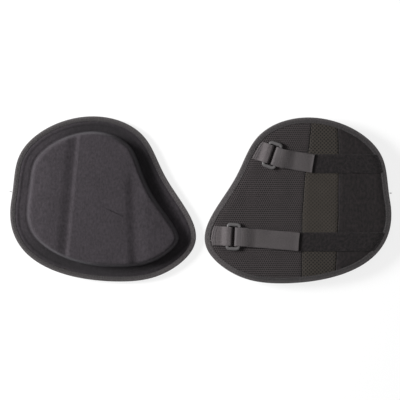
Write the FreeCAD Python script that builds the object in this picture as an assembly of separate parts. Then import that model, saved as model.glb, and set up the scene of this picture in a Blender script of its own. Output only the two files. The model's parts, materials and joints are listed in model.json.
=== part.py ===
import FreeCAD, Part
import math
import os

from FreeCAD import Vector

# A pair of soft knee pads, in millimetres, +Z up.
# Each pad is built in its own frame: +X and +Y across the back as the knee meets it, +Z towards
# the knee, with the flat lining at Z = 0.  The right pad lies on its dome, with that frame's +Z up.
# The left pad is turned over about Y and lies on its rim, dome up.

# ---- overall sizes -------------------------------------------------------------------------------
PAD_WIDTH = 248.0            # along X
PAD_HEIGHT = 220.0           # along Y
PAIR_GAP = 11.0              # free space between the two pads
PAIR_STAGGER = 2.0           # how much lower the right pad lies
DOME_HEIGHT = 22.5           # lining to kneeling face
RIM_DROP = 3.0               # how far the flange turns towards the knee
FLANGE_WIDTH = 16.0          # rim to the foot of the dome, where the flat back starts to turn up

# The outline, as fractions of half the width and half the height, joined by a smooth closed curve.
OUTLINE = [
    (0.987, -0.01), (0.892, -0.567), (-0.198, -0.996), (-0.659, -0.896), (-0.989, -0.542),
    (-0.666, 0.281), (-0.441, 0.757), (0.161, 1.003), (0.90, 0.529),
]
OUTLINE_STEPS = 48           # points that carry each inset copy of the outline

# ---- layers --------------------------------------------------------------------------------------
LINING_THICK = 0.8
COVER_THICK = 1.2
FLANGE_FOAM = 2.0            # the core pressed thin in the flange
COMFORT_FOAM = 3.0
LAYER_GAP = 0.1              # between laminated layers
BINDING_THICK = 0.9
BINDING_WIDTH = 7.5          # on the back
BINDING_FRONT = 5.5          # on the front
BINDING_ROUND = 0.8          # chamfer of the binding's outer corners
RIM_FLAT = 4.0               # flat seat of the rim, seen from the edge
SHELL_MARGIN = 5.0           # how far a cutting shape reaches past the rim

# ---- dome ----------------------------------------------------------------------------------------
# How far the wall has come in, and how far it has risen, as fractions of the dome's wall.
DOME_WALL = 20.0             # from the foot of the dome to its flat top
DOME_STEPS = [(0.06, 0.0), (0.12, 0.35), (0.20, 0.62), (0.32, 0.84), (0.55, 0.96), (1.0, 1.0)]
GROOVE_DEPTH = 3.0
GROOVE_HALF_WIDTH = 8.0
# Each groove across the dome: X at the top and at the bottom of the pad, in half widths.
GROOVES = [(0.274, 0.403), (-0.355, -0.306)]
POCKET_MARGIN = 4.0          # foot of the dome to the comfort foam's edge

# ---- lining seams: X in half widths, at the heights given in half heights, from the top down ------
SEAM_HEIGHTS = [1.18, 0.67, 0.31, -0.18, -1.18]
LOBE_SEAM = [0.161, 0.124, 0.081, 0.049, 0.049]
ROUND_SEAM = [0.425, 0.435, 0.441, 0.435, 0.395]
SEAM_GAP = 0.2
PANEL_REACH = 2.0            # past the rim on both sides, in half widths

# ---- straps --------------------------------------------------------------------------------------
WEB_WIDTH = 25.0
WEB_THICK = 1.2
TAB_THICK = 1.0
PATCH_THICK = 0.8
PATCH_EDGE = 1.5             # the hook field's distance from the tab's edges
MOVE_GAP = 0.3               # between pieces that move past each other
REST_GAP = 0.1               # between pieces that lie on each other in one body

RING_BAR = 3.4               # diameter of the side bars
RING_WIDTH = 19.0            # across both side bars
RING_END = 4.85              # width of each end piece
RING_CORNER = 0.85           # corner radius, as a share of the end piece's width
RING_EDGE = 0.8              # softened edges of the end pieces
RING_SLOT_SLACK = 2.0        # slot length beyond the webbing's width
LOOP_SLACK = 3.2             # how far a webbing loop reaches past its bar, inside the slot
ANCHOR_LEG = 9.0             # bar to where the anchor's two legs meet
ANCHOR_JOIN = 5.4            # bar to where the sewn part starts, between the legs
ANCHOR_INSET = 9.5           # rim to the anchor's sewn end
FOLD_LEG = 5.0               # bar to the seam where the tab starts
UNDER_LEG = 3.0              # bar to the end of the fold's lower leg
TAB_LEAD_IN = 6.25           # ahead of the seam, cut back along the seam's line
TAB_DROP = 14.0              # length over which the tab comes down onto the strap
TACK_WIDTH = 1.0
TACK_THICK = 0.4
TACK_INSETS = [0.5, 2.2]     # from the anchor's sewn end

# Each strap: where its ring is along the rim, as a share of the way round, and how far in from it,
# the ring's tilt in degrees, and the centre of the tab's end in half widths and half heights.
STRAPS = {
    "upper": {"rim_place": 0.651, "inset": 30.3, "tilt": -19.0, "tab_end": (0.162, 0.446)},
    "lower": {"rim_place": 0.480, "inset": 37.9, "tilt": -3.0, "tab_end": (0.0105, -0.495)},
}

# ---- worked out ----------------------------------------------------------------------------------
SKIRT_THICK = LINING_THICK + LAYER_GAP + FLANGE_FOAM + LAYER_GAP + COVER_THICK
RIM_TOP = RIM_DROP + LAYER_GAP + BINDING_THICK
LINING_EDGE = BINDING_THICK + LAYER_GAP
STRAP_START = BINDING_WIDTH + MOVE_GAP
LOOP_RADIUS = RING_BAR / 2 + LAYER_GAP * 2 + WEB_THICK
BAR_HEIGHT = MOVE_GAP + LOOP_RADIUS
BAR_OFFSET = (RING_WIDTH - RING_BAR) / 2
STRAP_TOP = REST_GAP + WEB_THICK
TAB_BOTTOM = STRAP_TOP + MOVE_GAP + PATCH_THICK
SEAM_TOP = BAR_HEIGHT + LOOP_RADIUS
LIE_HEIGHT = max(RIM_TOP, SEAM_TOP)
ANCHOR_TOP = MOVE_GAP + 2 * WEB_THICK + REST_GAP
FAR = 400.0                  # larger than the pad, for cutting shapes


def on_pad(x, y):
    """A point of the pad given in half widths and half heights."""
    return Vector(x * PAD_WIDTH / 2, y * PAD_HEIGHT / 2, 0)


def outline_curve():
    """The pad's outline as one smooth closed curve."""
    points = [on_pad(x, y) for x, y in OUTLINE]
    curve = Part.BSplineCurve()
    curve.interpolate(Points=points, PeriodicFlag=True)
    return curve


OUTLINE_CURVE = outline_curve()


def rim_point(share, inset):
    """The point a share of the way round the outline, moved inwards by inset."""
    first, last = OUTLINE_CURVE.FirstParameter, OUTLINE_CURVE.LastParameter
    where = first + (last - first) * share
    here = OUTLINE_CURVE.value(where)
    along = OUTLINE_CURVE.tangent(where)[0]
    inward = Vector(-along.y, along.x, 0)
    if inward.dot(here) > 0:
        inward = -inward
    return here + inward * inset


def inset_wire(inset, height):
    """The outline moved inwards by inset, at the given height."""
    points = []
    for step in range(OUTLINE_STEPS):
        points.append(rim_point(step / OUTLINE_STEPS, inset) + Vector(0, 0, height))
    curve = Part.BSplineCurve()
    curve.interpolate(Points=points, PeriodicFlag=True)
    return Part.Wire([curve.toShape()])


def follow_outline(profile, closed=False):
    """A solid whose section, seen along the rim, is the profile of (inset, height) points."""
    wires = []
    for inset, height in profile:
        wires.append(inset_wire(inset, height))
    return Part.makeLoft(wires, True, True, closed)


def back_height(inset):
    """How far the back is turned up towards the knee, at a distance in from the rim."""
    share = (FLANGE_WIDTH - inset) / (FLANGE_WIDTH - RIM_FLAT)
    return RIM_DROP * min(max(share, 0.0), 1.0)


def back_line(offset, edge):
    """The back's profile raised by offset, from its flat middle out to edge."""
    insets = [FLANGE_WIDTH]
    if edge < RIM_FLAT:
        insets.append(RIM_FLAT)
    insets.append(edge)
    return [(inset, back_height(inset) + offset) for inset in insets]


def above_back(offset):
    """Everything on the knee side of the back surface raised by offset, past the rim too."""
    profile = back_line(offset, -SHELL_MARGIN)
    profile.append((-SHELL_MARGIN, -FAR / 4))
    below = follow_outline(profile)
    block = Part.makeBox(2 * FAR, 2 * FAR, FAR / 2, Vector(-FAR, -FAR, -FAR / 4))
    return block.cut(below)


def back_layer(low, high, edge):
    """A sheet that follows the back, from low to high, and ends edge in from the rim."""
    profile = back_line(low, edge)
    profile += reversed(back_line(high, edge))
    return follow_outline(profile)


def dome_profile(shrink):
    """The front from the flat top out to the flange, moved inwards by shrink."""
    skirt = -SKIRT_THICK + shrink
    rise = DOME_HEIGHT - SKIRT_THICK
    profile = []
    for inwards, upwards in reversed(DOME_STEPS):
        profile.append((FLANGE_WIDTH + DOME_WALL * inwards + shrink, skirt - rise * upwards))
    profile.append((FLANGE_WIDTH, skirt))
    profile.append((RIM_FLAT, RIM_DROP + skirt))
    return profile


def groove_cutters(shrink):
    """One long cylinder for each groove, larger by shrink for the layers under the cover."""
    radius = (GROOVE_HALF_WIDTH ** 2 + GROOVE_DEPTH ** 2) / (2 * GROOVE_DEPTH)
    cutters = []
    sunk = Vector(0, 0, -DOME_HEIGHT + GROOVE_DEPTH - radius)
    for x_top, x_bottom in GROOVES:
        top = on_pad(x_top, 1.0) + sunk
        bottom = on_pad(x_bottom, -1.0) + sunk
        length = top.distanceToPoint(bottom)
        cutters.append(Part.makeCylinder(radius + shrink, length, bottom, top - bottom))
    return cutters


def front_mound(shrink, edge):
    """The solid bounded by the front moved inwards by shrink, open-ended towards the knee."""
    profile = dome_profile(shrink)
    profile.append((edge, RIM_DROP - SKIRT_THICK + shrink))
    profile.append((edge, FAR / 4))
    mound = follow_outline(profile)
    for cutter in groove_cutters(shrink):
        mound = mound.cut(cutter)
    return mound


def make_front_cover():
    outer = front_mound(0.0, LINING_EDGE)
    inner = front_mound(COVER_THICK, -SHELL_MARGIN)
    return outer.cut(inner)


def make_foam_core():
    front = front_mound(COVER_THICK + LAYER_GAP, LINING_EDGE)
    core = front.cut(above_back(-LINING_THICK - LAYER_GAP))
    pocket_inset = FLANGE_WIDTH + POCKET_MARGIN - LAYER_GAP
    pocket_floor = -LINING_THICK - 2 * LAYER_GAP - COMFORT_FOAM
    pocket = follow_outline([(pocket_inset, pocket_floor), (pocket_inset, 0.0)])
    return core.cut(pocket)


def make_comfort_foam():
    inset = FLANGE_WIDTH + POCKET_MARGIN
    top = -LINING_THICK - LAYER_GAP
    return follow_outline([(inset, top - COMFORT_FOAM), (inset, top)])


def panel_block(left_edge, right_edge):
    """A tall block between two seam lines, each a list of X in half widths at SEAM_HEIGHTS."""
    floor = Vector(0, 0, -FAR / 4)
    corners = []
    for x, y in zip(left_edge, SEAM_HEIGHTS):
        corners.append(on_pad(x, y) + floor)
    for x, y in reversed(list(zip(right_edge, SEAM_HEIGHTS))):
        corners.append(on_pad(x, y) + floor)
    corners.append(corners[0])
    return Part.Face(Part.makePolygon(corners)).extrude(Vector(0, 0, FAR / 2))


def make_linings():
    sheet = back_layer(-LINING_THICK, 0.0, LINING_EDGE)
    far_left = [-PANEL_REACH] * len(SEAM_HEIGHTS)
    far_right = [PANEL_REACH] * len(SEAM_HEIGHTS)
    gap = SEAM_GAP / (PAD_WIDTH / 2)
    lobe_stop = [x - gap for x in LOBE_SEAM]
    round_start = [x + gap for x in ROUND_SEAM]
    return {
        "lobe_lining": sheet.common(panel_block(far_left, lobe_stop)),
        "centre_lining": sheet.common(panel_block(LOBE_SEAM, ROUND_SEAM)),
        "round_lining": sheet.common(panel_block(round_start, far_right)),
    }


def make_edge_binding():
    low = RIM_DROP - SKIRT_THICK - LAYER_GAP
    high = RIM_DROP + LAYER_GAP
    inner = LINING_EDGE - LAYER_GAP
    outer_low = low - BINDING_THICK
    outer_high = high + BINDING_THICK
    leg = min(BINDING_FRONT, RIM_FLAT)
    front_fall = RIM_DROP - back_height(BINDING_FRONT)
    back_fall = RIM_DROP - back_height(BINDING_WIDTH)
    profile = [
        (0.0, outer_low + BINDING_ROUND),
        (BINDING_ROUND, outer_low),
        (leg, outer_low),
        (BINDING_FRONT, outer_low - front_fall),
        (BINDING_FRONT, low - front_fall),
        (leg, low),
        (inner, low),
        (inner, high),
        (leg, high),
        (BINDING_WIDTH, high - back_fall),
        (BINDING_WIDTH, outer_high - back_fall),
        (leg, outer_high),
        (BINDING_ROUND, outer_high),
        (0.0, outer_high - BINDING_ROUND),
    ]
    profile.append(profile[0])
    wires = []
    for inset, height in profile:
        wires.append(inset_wire(inset, height))
    faces = []
    for first, second in zip(wires, wires[1:]):
        faces += Part.makeRuledSurface(first, second).Faces
    shell = Part.Shell(faces)
    shell.sewShape()
    solid = Part.Solid(shell)
    if solid.Volume < 0:
        solid.reverse()
    return solid


def strap_frame(strap):
    """The ring's centre, the way from the anchor to the tab, and the way along the bars."""
    tilt = math.radians(strap["tilt"])
    centre = rim_point(strap["rim_place"], strap["inset"])
    across = Vector(math.cos(tilt), math.sin(tilt), 0)
    along = Vector(-math.sin(tilt), math.cos(tilt), 0)
    return centre, across, along


def swept_profile(points, origin, direction, width):
    """A profile of (distance along direction, height) points, pushed out to the given width."""
    side = Vector(-direction.y, direction.x, 0)
    corners = []
    for distance, height in points:
        corners.append(origin + direction * distance - side * (width / 2) + Vector(0, 0, height))
    corners.append(corners[0])
    return Part.Face(Part.makePolygon(corners)).extrude(side * width)


def webbing_turn(origin, direction, lower_leg, upper_leg, upper_fall):
    """Webbing that turns round a bar at origin, its two legs leading away along direction."""
    side = Vector(-direction.y, direction.x, 0)
    start = origin - side * (WEB_WIDTH / 2)
    up = Vector(0, 0, 1)
    outer = LOOP_RADIUS
    inner = LOOP_RADIUS - WEB_THICK

    def at(distance, height):
        return start + direction * distance + up * (BAR_HEIGHT + height)

    bend = -LOOP_SLACK
    upper_lift = Vector(0, 0, -upper_fall)
    edges = [
        Part.LineSegment(at(lower_leg, -outer), at(bend, -outer)).toShape(),
        Part.Arc(at(bend, -outer), at(bend - outer, 0), at(bend, outer)).toShape(),
        Part.LineSegment(at(bend, outer), at(0, outer)).toShape(),
        Part.LineSegment(at(0, outer), at(upper_leg, outer) + upper_lift).toShape(),
        Part.LineSegment(at(upper_leg, outer) + upper_lift,
                         at(upper_leg, inner) + upper_lift).toShape(),
        Part.LineSegment(at(upper_leg, inner) + upper_lift, at(0, inner)).toShape(),
        Part.LineSegment(at(0, inner), at(bend, inner)).toShape(),
        Part.Arc(at(bend, inner), at(bend - inner, 0), at(bend, -inner)).toShape(),
        Part.LineSegment(at(bend, -inner), at(lower_leg, -inner)).toShape(),
        Part.LineSegment(at(lower_leg, -inner), at(lower_leg, -outer)).toShape(),
    ]
    return Part.Face(Part.Wire(edges)).extrude(side * WEB_WIDTH)


def inside_rim(inset):
    """Everything further in than inset from the rim."""
    return follow_outline([(inset, -FAR / 4), (inset, FAR / 4)])


def make_ring(strap):
    """Two round side bars joined by two flat ends with rounded corners and softened edges."""
    centre, across, along = strap_frame(strap)
    radius = RING_BAR / 2
    slot_length = WEB_WIDTH + RING_SLOT_SLACK
    middle = centre + Vector(0, 0, BAR_HEIGHT)
    bar_length = slot_length + RING_END
    pieces = []
    for sign in (-1, 1):
        start = middle + across * (sign * BAR_OFFSET) - along * (bar_length / 2)
        pieces.append(Part.makeCylinder(radius, bar_length, start, along))
        end = Part.makeBox(RING_WIDTH, RING_END, RING_BAR, Vector(-RING_WIDTH / 2, 0, -radius))
        corners = []
        for edge in end.Edges:
            if abs(edge.tangentAt(edge.FirstParameter).z) > 0.9 and edge.CenterOfMass.y > RING_END / 2:
                corners.append(edge)
        end = end.makeFillet(RING_END * RING_CORNER, corners)
        rims = []
        for edge in end.Edges:
            if abs(edge.CenterOfMass.z) > radius * 0.99:
                rims.append(edge)
        end = end.makeFillet(RING_EDGE, rims)
        end.translate(Vector(0, slot_length / 2, 0))
        if sign < 0:
            end.rotate(Vector(0, 0, 0), Vector(0, 0, 1), 180)
        end.rotate(Vector(0, 0, 0), Vector(0, 0, 1), strap["tilt"])
        end.translate(middle)
        pieces.append(end)
    return pieces[0].multiFuse(pieces[1:]).removeSplitter()


def anchor_plan(strap, lead, inset):
    """The anchor's plan, from lead past the ring's fixed bar to inset from the rim."""
    centre, across, _ = strap_frame(strap)
    bar = centre - across * BAR_OFFSET
    points = [(0.0, -FAR / 4), (0.0, FAR / 4), (FAR / 4, FAR / 4), (FAR / 4, -FAR / 4)]
    block = swept_profile(points, bar - across * lead, -across, WEB_WIDTH)
    return block.common(inside_rim(inset))


def make_anchor(strap):
    centre, across, _ = strap_frame(strap)
    bar = centre - across * BAR_OFFSET
    fall = 2 * LOOP_RADIUS - 2 * WEB_THICK
    loop = webbing_turn(bar, -across, ANCHOR_LEG, ANCHOR_LEG, fall)
    sewn_layer = back_layer(REST_GAP, ANCHOR_TOP, BINDING_WIDTH)
    sewn = sewn_layer.common(anchor_plan(strap, ANCHOR_JOIN, ANCHOR_INSET))
    return loop.common(above_back(REST_GAP + LAYER_GAP)).fuse(sewn)


def make_bar_tacks(strap):
    """Two rows of thread across the anchor's sewn end."""
    tacks = []
    low = ANCHOR_TOP + LAYER_GAP / 2
    layer = back_layer(low, low + TACK_THICK, BINDING_WIDTH)
    for inset in TACK_INSETS:
        outer = anchor_plan(strap, ANCHOR_LEG, ANCHOR_INSET + inset)
        inner = inside_rim(ANCHOR_INSET + inset + TACK_WIDTH)
        tacks.append(layer.common(outer).cut(inner))
    return tacks


def make_fold(strap):
    centre, across, _ = strap_frame(strap)
    bar = centre + across * BAR_OFFSET
    return webbing_turn(bar, across, UNDER_LEG, FOLD_LEG, 0.0)


def make_strap(strap):
    """The elastic strap, from its end in the binding to under the ring's free bar."""
    centre, across, along = strap_frame(strap)
    bend = on_pad(*strap["tab_end"])
    start = centre + across * (BAR_OFFSET + UNDER_LEG + 2 * MOVE_GAP)
    lead = (bend - start).normalize()
    side_in = Vector(-lead.y, lead.x, 0)
    side_out = Vector(0, 1, 0)
    middle = (side_in + side_out).normalize()
    half = WEB_WIDTH / 2
    mitre = half / middle.dot(side_out)
    far_end = Vector(PAD_WIDTH, bend.y, 0)
    plan = [
        start + along * half,
        bend + middle * mitre,
        far_end + side_out * half,
        far_end - side_out * half,
        bend - middle * mitre,
        start - along * half,
    ]
    corners = []
    for point in plan:
        corners.append(Vector(point.x, point.y, -FAR / 4))
    corners.append(corners[0])
    block = Part.Face(Part.makePolygon(corners)).extrude(Vector(0, 0, FAR / 2))
    return back_layer(REST_GAP, STRAP_TOP, STRAP_START).common(block)


def tab_frame(strap):
    """The seam's centre, the way along the tab, and the tab's length."""
    centre, across, _ = strap_frame(strap)
    seam = centre + across * (BAR_OFFSET + FOLD_LEG)
    end = on_pad(*strap["tab_end"])
    way = (end - seam).normalize()
    return seam, way, seam.distanceToPoint(end)


def make_hook_tab(strap):
    _, across, _ = strap_frame(strap)
    seam, way, length = tab_frame(strap)
    top = SEAM_TOP
    low_top = TAB_BOTTOM + TAB_THICK
    points = [
        (-TAB_LEAD_IN, top),
        (0.0, top),
        (TAB_DROP, low_top),
        (length, low_top),
        (length, TAB_BOTTOM),
        (TAB_DROP, TAB_BOTTOM),
        (0.0, top - TAB_THICK),
        (-TAB_LEAD_IN, top - TAB_THICK),
    ]
    tab = swept_profile(points, seam, way, WEB_WIDTH)
    cut_origin = seam + across * (MOVE_GAP / 2)
    cutter = [(0.0, -FAR / 4), (0.0, FAR / 4), (-FAR / 4, FAR / 4), (-FAR / 4, -FAR / 4)]
    return tab.cut(swept_profile(cutter, cut_origin, across, FAR / 4))


def make_hook_patch(strap):
    seam, way, length = tab_frame(strap)
    points = [
        (TAB_DROP + PATCH_EDGE, TAB_BOTTOM - PATCH_THICK),
        (length - PATCH_EDGE, TAB_BOTTOM - PATCH_THICK),
        (length - PATCH_EDGE, TAB_BOTTOM),
        (TAB_DROP + PATCH_EDGE, TAB_BOTTOM),
    ]
    return swept_profile(points, seam, way, WEB_WIDTH - 2 * PATCH_EDGE)


def make_pad():
    """Every piece of one pad, in the pad's own frame, by name."""
    pieces = {
        "front_cover": make_front_cover(),
        "foam_core": make_foam_core(),
        "comfort_foam": make_comfort_foam(),
        "edge_binding": make_edge_binding(),
    }
    pieces.update(make_linings())
    tacks = []
    for name, strap in STRAPS.items():
        pieces[name + "_strap"] = make_strap(strap)
        pieces[name + "_strap_fold"] = make_fold(strap)
        pieces[name + "_ring"] = make_ring(strap)
        pieces[name + "_anchor"] = make_anchor(strap)
        pieces[name + "_hook_tab"] = make_hook_tab(strap)
        pieces[name + "_hook_patch"] = make_hook_patch(strap)
        tacks += make_bar_tacks(strap)
    pieces["anchor_bar_tacks"] = Part.makeCompound(tacks)
    return pieces


def pad_places():
    """Where each pad lies: the left one dome up, the right one dome down."""
    aside = (PAD_WIDTH + PAIR_GAP) / 2
    turned_over = FreeCAD.Rotation(Vector(0, 1, 0), 180)
    as_built = FreeCAD.Rotation()
    left = FreeCAD.Placement(Vector(-aside, PAIR_STAGGER / 2, LIE_HEIGHT), turned_over)
    right = FreeCAD.Placement(Vector(aside, -PAIR_STAGGER / 2, DOME_HEIGHT), as_built)
    return {"left": left, "right": right}


def main():
    os.makedirs("parts", exist_ok=True)
    pad = make_pad()
    for side, place in pad_places().items():
        for name, shape in pad.items():
            solids = [solid.copy() for solid in shape.Solids]
            for solid in solids:
                solid.Placement = place.multiply(solid.Placement)
            placed = solids[0] if len(solids) == 1 else Part.makeCompound(solids)
            placed.exportStep("parts/" + side + "_" + name + ".step")


main()
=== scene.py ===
import json
import math

import bpy
import numpy as np
from mathutils import Matrix, Vector
from mathutils.bvhtree import BVHTree


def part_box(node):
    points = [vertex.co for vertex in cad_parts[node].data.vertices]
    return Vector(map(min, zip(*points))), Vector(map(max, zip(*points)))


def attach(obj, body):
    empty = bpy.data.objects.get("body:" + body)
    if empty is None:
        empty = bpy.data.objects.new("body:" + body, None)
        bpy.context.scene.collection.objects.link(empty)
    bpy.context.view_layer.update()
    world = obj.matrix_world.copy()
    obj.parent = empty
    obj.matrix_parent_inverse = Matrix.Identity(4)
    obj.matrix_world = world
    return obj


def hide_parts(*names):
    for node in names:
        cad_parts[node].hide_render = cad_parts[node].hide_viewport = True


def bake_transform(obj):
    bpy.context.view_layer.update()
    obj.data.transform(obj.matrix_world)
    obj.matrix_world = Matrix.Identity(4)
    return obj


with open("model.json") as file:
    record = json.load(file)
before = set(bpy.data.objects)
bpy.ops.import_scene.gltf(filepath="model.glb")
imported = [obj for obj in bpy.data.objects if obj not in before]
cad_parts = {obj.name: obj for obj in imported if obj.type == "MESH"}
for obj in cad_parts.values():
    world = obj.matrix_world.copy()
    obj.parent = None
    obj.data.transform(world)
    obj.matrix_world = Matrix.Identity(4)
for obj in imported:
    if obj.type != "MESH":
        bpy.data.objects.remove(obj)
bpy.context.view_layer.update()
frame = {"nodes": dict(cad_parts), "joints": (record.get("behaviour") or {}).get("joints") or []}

MM = 0.001

# ---- sizes that go with the CAD model, in metres ---------------------------------------------------
LINING = 0.8 * MM            # thickness of the lining sheets
SKIRT = 4.2 * MM             # thickness of the pressed flange
RIM_FLAT = 4.0 * MM          # flat seat of the rim
RIM_DROP = 2.0 * MM          # how far the front of the flange falls away at the rim
RIM_RISE = -1.2 * MM         # height of the back of the flange at the rim, below zero as it falls
RIM_SIGHT = 0.9 * MM         # height at which the rim's outline is read
FLANGE = 16.0 * MM           # rim to the foot of the dome
WEB = 1.2 * MM               # webbing thickness
WEB_WIDTH = 25.0 * MM
LOOP_SLACK = 3.2 * MM        # how far a webbing loop reaches past its bar
FOLD_LEG = 5.0 * MM          # free bar to the tab's seam
ANCHOR_INSET = 9.0 * MM      # rim to the anchor's sewn end
ANCHOR_LEG = 9.0 * MM        # bar to where the anchor's legs meet
RING_BAR = 3.4 * MM
RING_WIDTH = 19.0 * MM
RING_END = 4.85 * MM
RING_SLOT = 27.0 * MM
BACK_BINDING = 7.5 * MM
FRONT_BINDING = 6.4 * MM
BACK_SEAM = 6.2 * MM         # rim to the binding's stitches
FRONT_SEAM = 5.0 * MM
RING_CORNER = 3.6 * MM

# ---- how finely things are made --------------------------------------------------------------------
RIM_POINTS = 480             # columns round the pad
FINE_RIM_POINTS = 1080       # columns round the binding
SHEET_STEP = 1.6 * MM        # grid of the lining sheets
WEB_COLUMNS = 20             # across a strap
WEB_STEP = 1.0 * MM          # along a strap
RING_SIDES = 20              # round a ring's bar
RING_STEPS = 160             # along it

SIDES = ("left", "right")
LEVELS = ("upper", "lower")


# ====================================================================================================
# Meshes
# ====================================================================================================

def linked(name, data):
    thing = bpy.data.objects.new(name, data)
    bpy.context.scene.collection.objects.link(thing)
    return thing


def new_object(name, points, faces):
    mesh = bpy.data.meshes.new(name)
    mesh.from_pydata([tuple(p) for p in points], [], faces)
    mesh.update()
    mesh.shade_smooth()
    return linked(name, mesh)


def frozen_mesh(thing):
    """A plain mesh of what an object's modifiers make; the object itself goes."""
    bpy.context.view_layer.update()
    ready = thing.evaluated_get(bpy.context.evaluated_depsgraph_get())
    mesh = bpy.data.meshes.new_from_object(ready)
    bpy.data.objects.remove(thing)
    return mesh


def corner_vertices(thing):
    """The vertex at each face corner."""
    vertices = np.zeros(len(thing.data.loops), int)
    thing.data.loops.foreach_get("vertex_index", vertices)
    return vertices


def set_tape_uv(thing, across, along):
    """A UV map in millimetres across and along a tape."""
    uv = thing.data.uv_layers.new(name="tape")
    uv.data.foreach_set("uv", np.stack([across, along], 1).astype(np.float32).ravel())


def set_amount(thing, name, amount):
    """A value on each vertex for a material to read."""
    thing.data.attributes.new(name, "FLOAT", "POINT").data.foreach_set("value", amount)


def vertex_places(mesh):
    places = np.empty(len(mesh.vertices) * 3)
    mesh.vertices.foreach_get("co", places)
    return places.reshape(-1, 3)


def loop_quads(rows, columns, first=0):
    """Quads between closed rows of columns points each, numbered from first."""
    faces = []
    for row in range(rows - 1):
        for column in range(columns):
            after = (column + 1) % columns
            a = first + row * columns
            b = a + columns
            faces.append((a + column, a + after, b + after, b + column))
    return faces


def tube_quads(rows, columns):
    """Quads between closed rows of columns points each, with the last row joined to the first."""
    faces = loop_quads(rows, columns)
    start = (rows - 1) * columns
    for column in range(columns):
        after = (column + 1) % columns
        faces.append((start + column, start + after, after, column))
    return faces


def fan(ring_start, columns, pole, flip=False):
    faces = []
    for column in range(columns):
        after = (column + 1) % columns
        face = (ring_start + column, ring_start + after, pole)
        faces.append(face[::-1] if flip else face)
    return faces


def rim_wall(columns, first):
    """Quads that join the first front row to the first back row, which starts at first."""
    steps = [(column, (column + 1) % columns) for column in range(columns)]
    return [(column, after, first + after, first + column) for column, after in steps]


def run_along(points):
    """How far along a line each of its points is."""
    return np.concatenate([[0], np.cumsum(np.linalg.norm(np.diff(points, axis=0), axis=1))])


def unit_rows(ways):
    return ways / np.linalg.norm(ways, axis=1)[:, None]


def smooth_step(value):
    value = np.clip(value, 0.0, 1.0)
    return value * value * (3 - 2 * value)


def bump(distance, width):
    return np.exp(-(distance / width) ** 2)


def ripple(x, y, pitch, seed):
    """Soft unevenness about +-1, from a few crossed waves."""
    rng = np.random.default_rng(seed)
    total = np.zeros_like(x)
    for _ in range(6):
        turn = rng.uniform(0, math.pi)
        size = 2 * math.pi / (pitch * rng.uniform(0.7, 1.6))
        shift = rng.uniform(0, 2 * math.pi)
        total = total + np.sin((x * math.cos(turn) + y * math.sin(turn)) * size + shift)
    return total / 3.5


# ====================================================================================================
# The pad's own frame: x and y across the back, z towards the knee, the lining at z = 0
# ====================================================================================================

class Pad:
    def __init__(self, side):
        self.side = side
        self.body = side + "_pad"
        self.turn = np.array([-1.0, 1.0, -1.0]) if side == "left" else np.ones(3)
        low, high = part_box(side + "_edge_binding")
        lining_low, lining_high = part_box(side + "_lobe_lining")
        flat = lining_high.z - LINING if side == "left" else lining_low.z + LINING
        self.origin = np.array([(low.x + high.x) / 2, (low.y + high.y) / 2, flat])
        self.outline = self.read_outline()
        self.inward = self.rim_normals(self.outline)

    def to_row(self, points):
        return np.asarray(points, float) * self.turn + self.origin

    def to_pad(self, points):
        return (np.asarray(points, float) - self.origin) * self.turn

    def read_outline(self):
        """The rim, seen from outside all the way round, with evenly spaced points."""
        mesh = frame["nodes"][self.side + "_edge_binding"].data
        points = self.to_pad([tuple(v.co) for v in mesh.vertices])
        faces = [tuple(p.vertices) for p in mesh.polygons]
        tree = BVHTree.FromPolygons([tuple(p) for p in points], faces)
        hits = []
        for step in range(2 * RIM_POINTS):
            angle = 2 * math.pi * step / (2 * RIM_POINTS)
            way = np.array([math.cos(angle), math.sin(angle), 0.0])
            start = way * 0.4 + np.array([0, 0, RIM_SIGHT])
            hit = tree.ray_cast(tuple(start), tuple(-way))[0]
            hits.append((hit.x, hit.y))
        hits = np.array(hits)
        return even_loop(soften_loop(hits, 4), RIM_POINTS)

    def rim_normals(self, loop):
        along = unit_rows(np.roll(loop, -2, 0) - np.roll(loop, 2, 0))
        inward = np.stack([-along[:, 1], along[:, 0]], 1)
        return soften_loop(inward, 3)

    def inset_of(self, x, y):
        """How far points are in from the rim, negative outside it."""
        column = np.clip((np.asarray(x) - GRID_LOW[0]) / GRID_STEP, 0, RIM_GRID.shape[1] - 1.001)
        row = np.clip((np.asarray(y) - GRID_LOW[1]) / GRID_STEP, 0, RIM_GRID.shape[0] - 1.001)
        c, r = column.astype(int), row.astype(int)
        u, v = column - c, row - r
        low = RIM_GRID[r, c] * (1 - u) + RIM_GRID[r, c + 1] * u
        high = RIM_GRID[r + 1, c] * (1 - u) + RIM_GRID[r + 1, c + 1] * u
        return low * (1 - v) + high * v

    def joint(self, name):
        return next(j for j in frame["joints"] if j["name"] == self.side + "_" + name)


def soften_loop(loop, reach):
    """A closed loop of values, each averaged with its neighbours."""
    weights = np.exp(-(np.arange(-2 * reach, 2 * reach + 1) / reach) ** 2)
    weights /= weights.sum()
    total = np.zeros_like(loop)
    for shift, weight in zip(range(-2 * reach, 2 * reach + 1), weights):
        total += np.roll(loop, shift, 0) * weight
    return total


def even_loop(loop, count):
    """A closed loop cut into count evenly spaced points."""
    closed = np.vstack([loop, loop[:1]])
    run = run_along(closed)
    where = np.linspace(0, run[-1], count, endpoint=False)
    return np.stack([np.interp(where, run, closed[:, k]) for k in range(loop.shape[1])], 1)


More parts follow.
